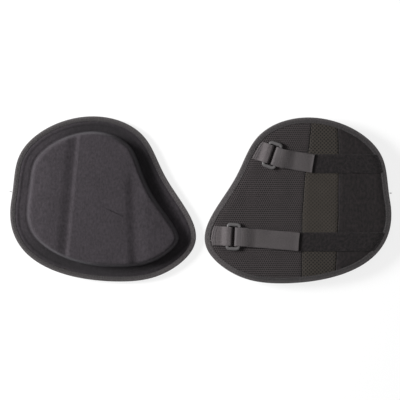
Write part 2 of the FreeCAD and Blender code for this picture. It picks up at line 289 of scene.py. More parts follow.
def rim_distance(loop, x, y):
    """Exact distance of points from a closed loop, positive inside it."""
    points = np.stack([np.ravel(x), np.ravel(y)], 1)
    steps = np.roll(loop, -1, 0) - loop
    best = np.full(len(points), 1e9)
    sign = np.ones(len(points))
    for start, step in zip(loop, steps):
        rel = points - start
        t = np.clip((rel @ step) / (step @ step), 0, 1)
        away = rel - t[:, None] * step
        gap = (away ** 2).sum(1)
        nearer = gap < best
        best[nearer] = gap[nearer]
        turn = step[0] * away[:, 1] - step[1] * away[:, 0]
        sign[nearer] = np.where(turn[nearer] >= 0, 1.0, -1.0)
    return (np.sqrt(best) * sign).reshape(np.shape(x))


PADS = {side: Pad(side) for side in SIDES}

# Distance from the rim on a grid, the same for both pads, which are made alike.
GRID_STEP = 1.5 * MM
GRID_LOW = PADS["right"].outline.min(0) - 4 * GRID_STEP
GRID_COUNT = ((PADS["right"].outline.max(0) - GRID_LOW) / GRID_STEP).astype(int) + 5
RIM_GRID = rim_distance(
    PADS["right"].outline[::2],
    *np.meshgrid(GRID_LOW[0] + np.arange(GRID_COUNT[0]) * GRID_STEP,
                 GRID_LOW[1] + np.arange(GRID_COUNT[1]) * GRID_STEP))


def back_height(inset):
    """The back of the pad: flat in the middle, falling away a little at the rim."""
    share = (FLANGE - inset) / (FLANGE - RIM_FLAT)
    return RIM_RISE * smooth_step(share)


def flange_height(inset):
    """The front of the flange, as height away from the knee: it thins towards the rim."""
    share = (FLANGE - inset) / (FLANGE - RIM_FLAT)
    return SKIRT - RIM_DROP * smooth_step(share)


# ====================================================================================================
# The moulded cover
# ====================================================================================================

# How far in from the rim the foot of the dome is, in millimetres, by the angle round the pad.
DOME_FOOT = [
    (0, 22.2), (43, 21.6), (65, 20.6), (88, 19.6), (125, 22.2), (150, 25.4), (168, 27.6), (188, 25.8),
    (209, 21.8), (230, 20.2), (248, 19.0), (278, 18.5), (300, 20.6), (315, 22.9), (338, 23.0),
]
SHOULDER = 22.0 * MM         # foot of the dome to where its top is level
DOME_RISE = 17.9 * MM
FRONT_LIMIT = 22.4 * MM      # the floor the dome rests on, from the back of the pad
# How high the wall is, as a share of the rise, at distances from the foot in millimetres.
WALL_DISTANCE = [0.0, 0.8, 1.7, 2.6, 3.5, 4.6, 6.0, 8.0, 12.0]
WALL_SHARE = [0.0, 0.08, 0.32, 0.61, 0.82, 0.93, 0.98, 0.995, 1.0]
# The two grooves: both ends of each in millimetres, depth, width of the slope on the side of the
# wide lobe, width of the rise on the other side, and how far down it has reached its depth.
SHARP_GROOVE = ((33.5, 92.0), (50.5, -88.0), 2.7, 15.0, 5.5, 0.06)
SOFT_GROOVE = ((-38.0, 58.0), (-45.0, -92.0), 2.6, 13.0, 19.0, 0.30)


# The folds pressed into the flange: height, inset from the rim and half width, in millimetres.
FLANGE_FOLDS = ((-0.15, 7.0, 0.9), (0.35, 9.6, 1.7), (-0.5, 12.4, 1.2))


def dome_foot(angles):
    """Rim to the foot of the dome, for each column."""
    at = [a for a, _ in DOME_FOOT]
    inset = [i * MM for _, i in DOME_FOOT]
    foot = np.interp(np.degrees(angles) % 360, at + [360], inset + [inset[0]])
    return soften_loop(foot[:, None], 14)[:, 0]


def wall_share(distance):
    """The wall's height as a share of the rise, with its corners eased."""
    fine = np.arange(-4.0, 30.0, 0.1)
    raw = np.interp(fine, WALL_DISTANCE, WALL_SHARE)
    ease = np.exp(-(np.arange(-2.0, 2.01, 0.1) / 0.7) ** 2)
    eased = np.convolve(raw, ease / ease.sum(), mode="same")
    eased[-30:] = 1.0
    eased[:20] = 0.0
    return np.interp(distance / MM, fine, eased)


def line_places(x, y, start, end):
    """Signed distance from a line, positive on its +x side, and the share of the way down it."""
    (x0, y0), (x1, y1) = np.array(start) * MM, np.array(end) * MM
    length = math.hypot(x1 - x0, y1 - y0)
    ux, uy = (x1 - x0) / length, (y1 - y0) / length
    return -(x - x0) * uy + (y - y0) * ux, ((x - x0) * ux + (y - y0) * uy) / length


def groove_depth(x, y):
    """How deep the two grooves press the dome in."""
    total = np.zeros_like(x)
    for start, end, depth, slope, rise, reached in (SHARP_GROOVE, SOFT_GROOVE):
        across, down = line_places(x, y, start, end)
        before = smooth_step(1 - across / (slope * MM)) * (across > 0)
        after = smooth_step(1 + across / (rise * MM)) * (across <= 0)
        fade = smooth_step((down - 0.02) / reached)
        deeper = 1.0 + 0.35 * smooth_step((down - 0.78) / 0.2)
        total += depth * MM * (before + after) * fade * deeper
    return total


def lobe_crown(x, y):
    """How far the outer lobes fall away towards the sides of the pad."""
    across, _ = line_places(x, y, *SHARP_GROOVE[:2])
    wide = np.clip(across - 14 * MM, 0, None)
    drop = 2.1 * wide ** 2
    across, _ = line_places(x, y, *SOFT_GROOVE[:2])
    narrow = np.clip(-across - 6 * MM, 0, None)
    return drop + 0.055 * narrow


def front_height(x, y, inset, foot):
    """The front of the pad, as height away from the knee."""
    flange = flange_height(inset * FLANGE / np.maximum(foot, 1e-6))
    outer = (inset < foot)
    for height, at, width in FLANGE_FOLDS:
        flange = flange + height * MM * bump(inset - at * MM, width * MM) * outer
    flange = flange - 1.2 * MM * smooth_step((inset - 9 * MM) / (8 * MM)) * outer
    flange = flange - 1.0 * MM * bump(inset - foot + 0.4 * MM, 1.6 * MM)
    rise = wall_share(inset - foot)
    level = DOME_RISE - lobe_crown(x, y) - groove_depth(x, y) * smooth_step((rise - 0.35) / 0.5)
    level = level - 0.2 * MM * (1 - smooth_step((inset - foot - 6 * MM) / (26 * MM)))
    soft = ripple(x, y, 46 * MM, 3) * 0.20 * MM + ripple(x, y, 14 * MM, 5) * 0.05 * MM
    return flange + level * rise + soft * rise


def cover_rows(pad, count_flange=16, count_wall=30, count_top=46):
    """Rings of points from under the binding to the middle of the dome, and each ring's insets."""
    angles = np.arctan2(pad.outline[:, 1], pad.outline[:, 0])
    foot = dome_foot(angles)
    start = 1.6 * MM
    rings, insets = [], []
    for share in np.linspace(0, 1, count_flange, endpoint=False):
        insets.append(start + (foot - start) * share)
    for share in np.linspace(0, 1, count_wall):
        insets.append(foot + SHOULDER * share ** 1.3)
    for inset in insets:
        rings.append(pad.outline + pad.inward * inset[:, None])
    middle = rings[-1].mean(0)
    last = rings[-1]
    for share in np.linspace(0, 1, count_top, endpoint=False)[1:]:
        rings.append(last + (middle - last) * share)
    return rings, middle, foot


LIFT = {}
LIFT_CAP = 1.6 * MM
COARSE_COLUMNS = 120         # columns round the simulated cover
CLOTH_STEPS = 16
SOFT_LIMIT = 0.4 * MM        # how gently the front eases into its limit
CLOTH_SETTINGS = {
    "quality": 5, "mass": 0.25, "tension_stiffness": 12, "compression_stiffness": 12,
    "shear_stiffness": 5, "bending_stiffness": 2.0, "vertex_group_mass": "held",
    "pin_stiffness": 1.0, "use_pressure": True, "uniform_pressure_force": 4.0,
}


def coarse_dome(pad):
    """A coarse closed copy of the cover for the simulation."""
    rings, middle, _ = cover_rows(pad, 4, 12, 14)
    rings = [even_loop(r, COARSE_COLUMNS) for r in rings]
    front = np.vstack(rings + [middle[None, :]])
    inset = pad.inset_of(front[:, 0], front[:, 1])
    angles = np.arctan2(front[:, 1], front[:, 0])
    coarse_foot = dome_foot_at(pad, angles)
    height = front_height(front[:, 0], front[:, 1], inset, coarse_foot)
    back = np.column_stack([front, np.full(len(front), -1.0 * MM)])
    points = np.vstack([np.column_stack([front, -height]), back])
    count = len(front)
    columns = COARSE_COLUMNS
    faces = [f[::-1] for f in loop_quads(len(rings), columns)]
    faces += fan((len(rings) - 1) * columns, columns, count - 1, flip=True)
    faces += loop_quads(len(rings), columns, first=count)
    faces += fan(count + (len(rings) - 1) * columns, columns, 2 * count - 1)
    return points, faces + rim_wall(columns, count)


def dome_foot_at(pad, angles):
    at = np.degrees(np.arctan2(pad.outline[:, 1], pad.outline[:, 0])) % 360
    order = np.argsort(at)
    foot = dome_foot(np.arctan2(pad.outline[:, 1], pad.outline[:, 0]))
    return np.interp(np.degrees(angles) % 360, at[order], foot[order], period=360)


def simulate_cover(pad):
    """Let the knit settle over the foam: held along the flange and grooves, pressed out between."""
    points, faces = coarse_dome(pad)
    model = new_object("cover_simulation", points, faces)
    remesh = model.modifiers.new("even", "REMESH")
    remesh.mode = "VOXEL"
    remesh.voxel_size = 4.5 * MM
    model = linked("cover_simulation", frozen_mesh(model))
    before = vertex_places(model.data)
    inset = pad.inset_of(before[:, 0], before[:, 1])
    foot = dome_foot_at(pad, np.arctan2(before[:, 1], before[:, 0]))
    groove = groove_depth(before[:, 0], before[:, 1]) / (2.6 * MM)
    loose = smooth_step((inset - foot - 4 * MM) / (14 * MM)) * (1 - 0.9 * np.clip(groove, 0, 1))
    loose = loose * (before[:, 2] < -6 * MM)
    held = model.vertex_groups.new(name="held")
    for number, share in enumerate(loose):
        held.add([number], float(1 - share), "REPLACE")
    cloth = model.modifiers.new("cloth", "CLOTH")
    for name, value in CLOTH_SETTINGS.items():
        setattr(cloth.settings, name, value)
    cloth.settings.effector_weights.gravity = 0.0
    cloth.collision_settings.use_collision = False
    cloth.point_cache.frame_start = 1
    cloth.point_cache.frame_end = CLOTH_STEPS
    scene = bpy.context.scene
    for step in range(1, CLOTH_STEPS + 1):
        scene.frame_set(step)
    settled = model.evaluated_get(bpy.context.evaluated_depsgraph_get()).to_mesh()
    after = vertex_places(settled)
    scene.frame_set(1)
    moved = np.clip(before[:, 2] - after[:, 2], -LIFT_CAP, LIFT_CAP)
    front = before[:, 2] < -3 * MM
    bpy.data.objects.remove(model)
    return before[front, :2], moved[front]


def fabric_lift(pad, places, from_foot):
    """How far the settled fabric stands proud of the plain shape at places in the pad's frame."""
    if "moved" not in LIFT:
        LIFT["at"], LIFT["moved"] = simulate_cover(pad)
    at, moved = LIFT["at"], LIFT["moved"]
    lift = np.zeros(len(places))
    for start in range(0, len(places), 4000):
        block = places[start:start + 4000]
        gap = ((block[:, None, :] - at[None, :, :]) ** 2).sum(2)
        weight = np.exp(-gap / (5.0 * MM) ** 2) + 1e-12
        lift[start:start + 4000] = (weight * moved).sum(1) / weight.sum(1)
    return lift * smooth_step(from_foot / (12 * MM))


def make_cover(pad):
    """The cover with the foam in it: a closed pad, moulded in front and plain behind."""
    rings, middle, foot = cover_rows(pad)
    columns = RIM_POINTS
    front = np.vstack(rings + [middle[None, :]])
    inset = pad.inset_of(front[:, 0], front[:, 1])
    foot_all = np.concatenate([np.tile(foot, len(rings)), [foot.mean()]])
    height = front_height(front[:, 0], front[:, 1], inset, foot_all)
    height = height + fabric_lift(pad, front, inset - foot_all)
    height = FRONT_LIMIT - SOFT_LIMIT * np.log1p(np.exp((FRONT_LIMIT - height) / SOFT_LIMIT))
    points = [np.column_stack([front, -height])]
    faces = [f[::-1] for f in loop_quads(len(rings), columns)]
    pole = len(front) - 1
    faces += fan((len(rings) - 1) * columns, columns, pole, flip=True)
    first = len(front)
    back_insets = list(np.linspace(1.6, 18.0, 9) * MM)
    back = [pad.outline + pad.inward * inset for inset in back_insets]
    last = back[-1]
    for share in (0.25, 0.5, 0.75):
        back.append(last + (middle - last) * share)
    flat = np.vstack(back + [middle[None, :]])
    inset = pad.inset_of(flat[:, 0], flat[:, 1])
    points.append(np.column_stack([flat, back_height(inset) - LINING - 0.15 * MM]))
    faces += loop_quads(len(back), columns, first=first)
    faces += fan(first + (len(back) - 1) * columns, columns, first + len(flat) - 1)
    faces += rim_wall(columns, first)
    cover = new_object(pad.side + "_moulded_cover", pad.to_row(np.vstack(points)), faces)
    # Painted shade on the cover: the flange is darkened, more towards the dome's foot where the wall
    # shades it; the dome is left clear and the hidden back gets it in full.
    painted_shade = np.zeros(len(cover.data.vertices), np.float32)
    front_inset = pad.inset_of(front[:, 0], front[:, 1])
    flange_shade = smooth_step((front_inset - 6 * MM) / (6 * MM))
    # Less painted shade on the two sides of the flange, away from the bottom, where the light falls on
    # it.
    high = smooth_step((front[:, 1] + 80 * MM) / (50 * MM))
    side = 0.90 * smooth_step((-front[:, 0] - 60 * MM) / (40 * MM)) * high
    side = side + 0.60 * smooth_step((front[:, 0] - 30 * MM) / (40 * MM)) * high
    flange_shade = (0.85 + 1.25 * flange_shade) * (1 - side)
    painted_shade[:len(front)] = flange_shade * (1 - smooth_step((front_inset - foot_all) / (3 * MM)))
    painted_shade[len(front):] = 1.0
    set_amount(cover, "painted_shade", painted_shade)
    return cover


# ====================================================================================================
# The lining sheets
# ====================================================================================================

# The two seams across the back: x at each y, in millimetres, from the top down.
SEAM_Y = [125.0, 100.0, 73.7, 34.1, -19.8, -75.0, -125.0]
LOBE_SEAM_X = [20.5, 18.0, 15.4, 10.0, 6.1, 5.8, 5.8]
ROUND_SEAM_X = [52.0, 52.7, 54.0, 54.7, 54.0, 51.5, 48.0]


def seam_x(y, values):
    return np.interp(y, np.array(SEAM_Y[::-1]) * MM, np.array(values[::-1]) * MM)


def lining_height(pad, x, y):
    inset = pad.inset_of(x, y)
    height = back_height(inset)
    for values, depth in ((LOBE_SEAM_X, 0.7), (ROUND_SEAM_X, 0.8)):
        away = x - seam_x(y, values)
        height = height - depth * MM * bump(away, 2.2 * MM) * (inset > 6 * MM)
    height = height + ripple(x, y, 38 * MM, 11) * 0.18 * MM
    return height - 0.12 * MM


def make_lining(pad, name, left, right, columns):
    """A sheet between two edges, each a function of y, laid on the back and tucked in the binding."""
    low = pad.outline.min(0)
    high = pad.outline.max(0)
    rows = int((high[1] - low[1]) / SHEET_STEP)
    y = np.linspace(low[1], high[1], rows)
    x_left = left(y)
    x_right = right(y)
    share = np.linspace(0, 1, columns)
    grid_x = x_left[:, None] + (x_right - x_left)[:, None] * share[None, :]
    grid_y = np.repeat(y[:, None], columns, 1)
    inset = pad.inset_of(grid_x, grid_y)
    height = lining_height(pad, grid_x, grid_y)
    keep = inset > 2.6 * MM
    number = -np.ones(grid_x.shape, int)
    faces, points = [], []
    for r in range(rows - 1):
        for c in range(columns - 1):
            corners = ((r, c), (r, c + 1), (r + 1, c + 1), (r + 1, c))
            if all(keep[k] for k in corners):
                for k in corners:
                    if number[k] < 0:
                        number[k] = len(points)
                        points.append((grid_x[k], grid_y[k], height[k]))
                faces.append(tuple(int(number[k]) for k in corners))
    sheet = new_object(pad.side + "_" + name, pad.to_row(points), faces)
    slack = [0.5 * float(smooth_step((62 * MM - abs(p[1] - 2 * MM)) / (12 * MM))) for p in points]
    set_amount(sheet, "slack", slack)
    solid = sheet.modifiers.new("thickness", "SOLIDIFY")
    solid.thickness = LINING * 0.75
    solid.offset = -1.0
    return sheet


# ====================================================================================================
# The binding
# ====================================================================================================

# How far the tape stands off the pad, in millimetres, at distances in from the rim.
BACK_TAPE = ((7.1, 0.26), (6.5, 0.36), (5.8, 0.42), (5.1, 0.46), (4.3, 0.50), (3.4, 0.52), (2.6, 0.48))
FRONT_TAPE = ((2.6, 0.52), (3.4, 0.54), (4.2, 0.46), (5.0, 0.36), (5.7, 0.24), (6.2, 0.15))


def binding_profile():
    """The tape's section, from its edge on the back round the rim to its edge on the front."""
    front = RIM_DROP - SKIRT
    middle = (RIM_RISE + front) / 2
    half = (RIM_RISE - front) / 2 + 0.55 * MM
    outer = [(BACK_BINDING, float(back_height(BACK_BINDING)) + 0.12 * MM)]
    for inset, thick in BACK_TAPE:
        outer.append((inset * MM, float(back_height(inset * MM)) + thick * MM))
    for turn in np.linspace(66, -66, 13):
        angle = math.radians(turn)
        outer.append((2.2 * MM - 2.2 * MM * math.cos(angle) ** 0.9, middle + half * math.sin(angle)))
    for inset, thick in FRONT_TAPE:
        outer.append((inset * MM, -float(flange_height(inset * MM)) - thick * MM))
    last = -float(flange_height(FRONT_BINDING))
    outer.append((FRONT_BINDING, last - 0.10 * MM))
    outer.append((FRONT_BINDING + 0.1 * MM, last + 0.05 * MM))
    inner = [
        (FRONT_BINDING - 0.4 * MM, last + 0.1 * MM),
        (RIM_FLAT, front + 0.1 * MM),
        (1.6 * MM, front + 0.1 * MM),
        (1.6 * MM, RIM_RISE - 0.1 * MM),
        (RIM_FLAT, RIM_RISE - 0.1 * MM),
        (BACK_BINDING - 0.4 * MM, float(back_height(BACK_BINDING)) + 0.05 * MM),
    ]
    return np.array(outer + inner), len(outer)


def make_binding(pad):
    profile, outer_count = binding_profile()
    fine = even_loop(pad.outline, FINE_RIM_POINTS)
    fine = soften_loop(fine, 4)
    inward = pad.rim_normals(fine)
    run = np.arange(FINE_RIM_POINTS) * np.linalg.norm(fine[1] - fine[0])
    rows = []
    for index, (inset, z) in enumerate(profile):
        pucker = np.sin(run / (3.6 * MM) * 2 * math.pi) * 0.07 * MM
        wander = np.sin(run / (61 * MM) + index) * 0.10 * MM
        wander = wander + np.sin(run / (23 * MM) + 2.0) * 0.06 * MM
        amount = 1.0 if index < outer_count else 0.0
        place = fine + inward * (inset + wander * amount)[:, None]
        lift = pucker * amount * (1.0 if z > 0 else -1.0)
        rows.append(np.column_stack([place, z + lift]))
    faces = [(a, d, c, b) for a, b, c, d in tube_quads(len(rows), FINE_RIM_POINTS)]
    binding = new_object(pad.side + "_rim_binding", pad.to_row(np.vstack(rows)), faces)
    # Painted shade on the tape: on the back it darkens towards the pad's low-x side; on the front it
    # darkens inwards from the rim and is left clear towards low x.
    back_tape_shade = 1.9 * smooth_step((10 * MM - fine[:, 0]) / (70 * MM))
    clear = 1 - smooth_step((-fine[:, 0] - 60 * MM) / (40 * MM))
    shade = [1.8 * smooth_step(i / (5 * MM)) * clear if z < 0 else back_tape_shade for i, z in profile]
    set_amount(binding, "painted_shade", np.concatenate(shade).astype(np.float32))
    corner = corner_vertices(binding)
    lengths = run_along(profile)
    set_tape_uv(binding, lengths[corner // FINE_RIM_POINTS] / MM, run[corner % FINE_RIM_POINTS] / MM)
    return binding


# ====================================================================================================
# Straps
# ====================================================================================================

class Strap:
    """Where one strap's bar, ring, seam and tab lie, in the pad's frame."""

    def __init__(self, pad, level):
        self.pad = pad
        self.name = pad.side + "_" + level
        swing = pad.joint(level + "_ring_swing")
        peel = pad.joint(level + "_tab_peel")
        self.fixed_bar = pad.to_pad(swing["pos_m"])
        self.seam = pad.to_pad(peel["pos_m"])
        across = self.seam - self.fixed_bar
        across[2] = 0
        self.across = across / np.linalg.norm(across)
        self.along = np.array([-self.across[1], self.across[0], 0.0])
        self.free_bar = self.seam - self.across * FOLD_LEG
        self.free_bar[2] = self.fixed_bar[2]
        self.turn_radius = self.seam[2] - self.fixed_bar[2]
        tab = frame["nodes"][self.name + "_hook_tab"].data
        corners = pad.to_pad([tuple(v.co) for v in tab.vertices])
        away = np.linalg.norm((corners - self.seam)[:, :2], axis=1)
        way = (corners[away > away.max() - 3 * MM].mean(0) - self.seam)[:2]
        way = way / np.linalg.norm(way)
        reach = ((corners - self.seam)[:, :2] @ way).max()
        self.tab_way = np.array([way[0], way[1], 0.0])
        self.tab_length = float(reach)
        self.tab_end = self.seam + self.tab_way * self.tab_length
        self.ring_body = self.name + "_ring_body"
        self.tab_body = self.name + "_tab_body"


def strip(name, pad, grid, thickness):
    """A band of cloth round a grid of middle points, rows along it and columns across it, with
    rounded selvedges and a UV map in millimetres.  Also says which faces are on its upper side."""
    rows, columns = grid.shape[:2]
    ahead = np.gradient(grid, axis=0)
    across = np.gradient(grid, axis=1)
    up = np.cross(across, ahead)
    up /= np.linalg.norm(up, axis=2)[:, :, None]
    half = np.linalg.norm(grid[:, -1] - grid[:, 0], axis=1).mean() / 2
    share = np.linspace(-1, 1, columns)
    edge = np.clip((1 - np.abs(share)) * half / (0.9 * MM), 0, 1)
    swell = (thickness / 2 * np.sqrt(1 - (1 - edge) ** 2 * 0.75))[None, :, None]
    points = np.concatenate([grid + up * swell, (grid - up * swell)[:, ::-1]], axis=1)
    size = 2 * columns
    faces = loop_quads(rows, size)
    for end in (0, rows - 1):
        base = end * size
        for c in range(columns - 1):
            quad = (base + c, base + c + 1, base + size - 2 - c, base + size - 1 - c)
            faces.append(quad[::-1] if end == 0 else quad)
    band = new_object(name, pad.to_row(points.reshape(-1, 3)), faces)
    if mesh_volume(band) < 0:
        band.data.flip_normals()
    run = run_along(grid[:, columns // 2])
    corner = corner_vertices(band)
    place = corner % size
    side = np.where(place < columns, share[place % columns], share[::-1][place % columns])
    set_tape_uv(band, (side + 1) * half / MM, run[corner // size] / MM)
    faces_up = up[:8, :, 2].mean() > 0
    upper = [all((v % size < columns) == faces_up for v in p.vertices) for p in band.data.polygons]
    return band, upper


def mesh_volume(thing):
    """Signed volume of a closed mesh: negative when its faces point inwards."""
    total = 0.0
    points = [v.co for v in thing.data.vertices]
    for face in thing.data.polygons:
        corners = [points[v] for v in face.vertices]
        for second, third in zip(corners[1:-1], corners[2:]):
            total += corners[0].dot(second.cross(third))
    return total


def even_path(points, step):
    run = run_along(points)
    count = max(int(run[-1] / step), 8)
    where = np.linspace(0, run[-1], count)
    return np.stack([np.interp(where, run, points[:, k]) for k in range(points.shape[1])], 1)


def across_grid(centre, side, width):
    share = np.linspace(-1, 1, WEB_COLUMNS + 1)
    return centre[:, None, :] + side[:, None, :] * (share * width / 2)[None, :, None]


STRAP_INSET = 4.8 * MM       # rim to the strap's end, under the binding


def make_strap(strap):
    """The elastic: from under the binding along the lining, round the free bar and back."""
    pad = strap.pad
    y_run = strap.tab_end[1]
    xs = np.linspace(strap.tab_end[0], pad.outline[:, 0].max(), 300)
    x_far = xs[np.where(pad.inset_of(xs, np.full_like(xs, y_run)) > STRAP_INSET)[0][-1]]
    radius = strap.turn_radius - WEB / 2
    under = strap.free_bar + strap.across * 2.0 * MM
    bend = strap.tab_end + np.array([2 * MM, 0, 0])
    start_run = np.array([x_far, y_run])
    shares = np.linspace(0, 1, 60)[:, None]
    flat = np.vstack([start_run + (bend[:2] - start_run) * shares,
                      bend[:2] + (under[:2] - bend[:2]) * shares[1:]])
    flat = even_path(flat, WEB_STEP)
    for _ in range(30):
        flat[1:-1] = (flat[:-2] + flat[2:] + 2 * flat[1:-1]) / 4
    low = 0.1 * MM + WEB / 2
    bar_low = strap.free_bar[2] - radius
    near_bar = smooth_step(1 - np.linalg.norm(flat - under[:2], axis=1) / (9 * MM))
    path = np.column_stack([flat, low + (bar_low - low) * near_bar])
    hub = strap.free_bar - strap.across * LOOP_SLACK
    turn = []
    for angle in np.linspace(-90, 90, 15):
        a = math.radians(angle)
        turn.append(hub - strap.across * radius * math.cos(a) + np.array([0, 0, radius * math.sin(a)]))
    top_end = strap.seam + strap.across * 5.5 * MM
    top_end[2] = strap.seam[2] - WEB / 2 - 0.75 * MM
    over = strap.free_bar + strap.across * 1.0 * MM
    over[2] = strap.free_bar[2] + radius
    lead_in = [path[-1] + (turn[0] - path[-1]) * s for s in (0.33, 0.66)]
    lead_out = [turn[-1] + (over - turn[-1]) * s for s in (0.5, 1.0)]
    run_out = [over + (top_end - over) * s for s in np.linspace(0, 1, 10)[1:]]
    whole = even_path(np.vstack([path, lead_in, turn, lead_out, run_out]), WEB_STEP * 0.8)
    for _ in range(2):
        whole[1:-1] = (whole[:-2] + whole[2:] + 2 * whole[1:-1]) / 4
    run = run_along(whole)
    bend_at = run[np.argmin(np.linalg.norm(whole[:, :2] - bend[:2], axis=1))]
    bar_at = run[np.argmin(np.linalg.norm(whole - turn[0], axis=1))]
    lead = (under - bend) * np.array([1, 1, 0])
    lead /= np.linalg.norm(lead)
    second = np.array([-lead[1], lead[0], 0.0])
    bent = smooth_step((run - bend_at + 8 * MM) / (16 * MM))[:, None]
    squared = smooth_step((run - bar_at + 14 * MM) / (14 * MM))[:, None]
    side = np.array([0.0, -1.0, 0.0]) * (1 - bent) + second * bent
    side = side * (1 - squared) - strap.along * squared
    grid = across_grid(whole, unit_rows(side), WEB_WIDTH)
    for column in range(grid.shape[1]):
        y = float(grid[0, column, 1])
        end = xs[np.where(pad.inset_of(xs, np.full_like(xs, y)) > STRAP_INSET)[0][-1]]
        share = np.clip((grid[:, column, 0] - bend[0]) / (x_far - bend[0]), 0, 1)
        flat_part = run < bend_at
        grid[flat_part, column, 0] += ((end - x_far) * share)[flat_part]
    ground = back_height(pad.inset_of(grid[:, :, 0], grid[:, :, 1]))
    on_back = (run < bar_at - 9 * MM)[:, None]
    tucked = smooth_step((11.5 * MM - pad.inset_of(grid[:, :, 0], grid[:, :, 1])) / (5 * MM))
    grid[:, :, 2] += (ground - 0.7 * MM * tucked) * on_back
    return strip(strap.name + "_elastic_strap", pad, grid, WEB)


TAB_REST = 2.9 * MM          # height of the tab's middle where it lies on the strap


def tab_drop(reach):
    """How far the tab has come down onto the strap, as a share."""
    return smooth_step((reach - 1.0 * MM) / (17 * MM))


def tab_height(strap, reach):
    high = strap.seam[2] - 0.45 * MM
    return high + (TAB_REST - high) * tab_drop(reach)


def make_tab(strap):
    """The hook tab, from its seam on the elastic down onto the strap and along it."""
    pad = strap.pad
    reach = np.linspace(-2.0 * MM, strap.tab_length, 120)
    wave = np.abs(0.25 * MM * np.sin(reach / strap.tab_length * math.pi * 2.2)) * tab_drop(reach)
    curl = 0.35 * MM * smooth_step((reach / strap.tab_length - 0.93) / 0.07)
    path = strap.seam + strap.tab_way * reach[:, None]
    path[:, 2] = tab_height(strap, reach) + wave + curl
    mix = smooth_step(reach / (14 * MM))[:, None]
    side_end = np.array([strap.tab_way[1], -strap.tab_way[0], 0.0])
    side = -strap.along * (1 - mix) + side_end * mix
    grid = across_grid(path, unit_rows(side), WEB_WIDTH - 0.4 * MM)
    return strip(strap.name + "_tab", pad, grid[:, ::-1], 1.0 * MM)


def make_anchor(strap):
    """The webbing loop that holds the ring: sewn down near the rim, round the fixed bar and back."""
    pad = strap.pad
    bar = strap.fixed_bar
    radius = strap.turn_radius - WEB / 2
    out = -strap.across
    share = np.linspace(-1, 1, WEB_COLUMNS + 1)
    steps = np.linspace(0, 40 * MM, 200)
    lengths = []
    for s in share:
        start = bar + strap.along * (s * WEB_WIDTH / 2)
        line = start[None, :] + out[None, :] * steps[:, None]
        inset = pad.inset_of(line[:, 0], line[:, 1])
        lengths.append(steps[np.where(inset > ANCHOR_INSET)[0][-1]])
    lengths = np.array(lengths)
    profile = [("low", t) for t in np.linspace(1, 0, 16)]
    profile += [("turn", angle) for angle in np.linspace(-90, 90, 15)]
    profile += [("high", t) for t in np.linspace(0, 1, 22)]
    rows = []
    for kind, value in profile:
        flare = 1.0 if kind == "turn" else 1.0 + 0.04 * value
        start = bar[None, :] + strap.along[None, :] * (share * flare * WEB_WIDTH / 2)[:, None]
        if kind == "turn":
            a = math.radians(value)
            way = -out * math.cos(a) + np.array([0, 0, math.sin(a)])
            rows.append(start - out * LOOP_SLACK + way * radius)
            continue
        reach = -LOOP_SLACK + (lengths + LOOP_SLACK) * value
        place = start + out[None, :] * reach[:, None]
        ground = back_height(pad.inset_of(place[:, 0], place[:, 1]))
        settle = smooth_step(reach / ANCHOR_LEG)
        if kind == "low":
            seat = ground + 0.1 * MM + WEB / 2
            place[:, 2] = np.maximum((bar[2] - radius) * (1 - settle) + seat * settle, seat)
        else:
            seat = ground + 0.2 * MM + WEB * 1.5
            place[:, 2] = (bar[2] + radius) * (1 - settle) + seat * settle
        rows.append(place)
    strap.anchor_lengths = lengths
    return strip(strap.name + "_anchor_loop", pad, np.array(rows), WEB)[0]


def make_ring(strap):
    """The plastic ring: round side bars, wider flat ends and rounded corners, in one closed loop."""
    bar_x = (RING_WIDTH - RING_BAR) / 2
    end_y = RING_SLOT / 2 + RING_END / 2
    path = []
    for qx, qy, start in ((1, 1, 0), (-1, 1, 90), (-1, -1, 180), (1, -1, 270)):
        for turn in np.linspace(0, 90, 9):
            a = math.radians(start + turn)
            path.append((qx * (bar_x - RING_CORNER) + RING_CORNER * math.cos(a),
                         qy * (end_y - RING_CORNER) + RING_CORNER * math.sin(a)))
    path = even_loop(np.array(path), RING_STEPS)
    along = unit_rows(np.roll(path, -1, 0) - np.roll(path, 1, 0))
    outward = np.stack([along[:, 1], -along[:, 0]], 1)
    end_share = smooth_step((np.abs(path[:, 1]) - RING_SLOT / 2 + 1.5 * MM) / (3 * MM))
    half_width = RING_BAR / 2 + (RING_END - RING_BAR) / 2 * end_share
    section = []
    for step in range(RING_SIDES):
        a = 2 * math.pi * step / RING_SIDES
        section.append([math.copysign(abs(v) ** 0.7, v) for v in (math.cos(a), math.sin(a))])
    middle = (strap.fixed_bar + strap.free_bar) / 2
    points = []
    for s, t in section:
        flat = path + outward * (s * half_width)[:, None]
        place = middle + strap.across * flat[:, :1] + strap.along * flat[:, 1:]
        place[:, 2] += t * RING_BAR / 2
        points.append(place)
    faces = tube_quads(len(points), len(path))
    return new_object(strap.name + "_ring_shell", strap.pad.to_row(np.vstack(points)), faces)


# ====================================================================================================
# Stitches
# ====================================================================================================

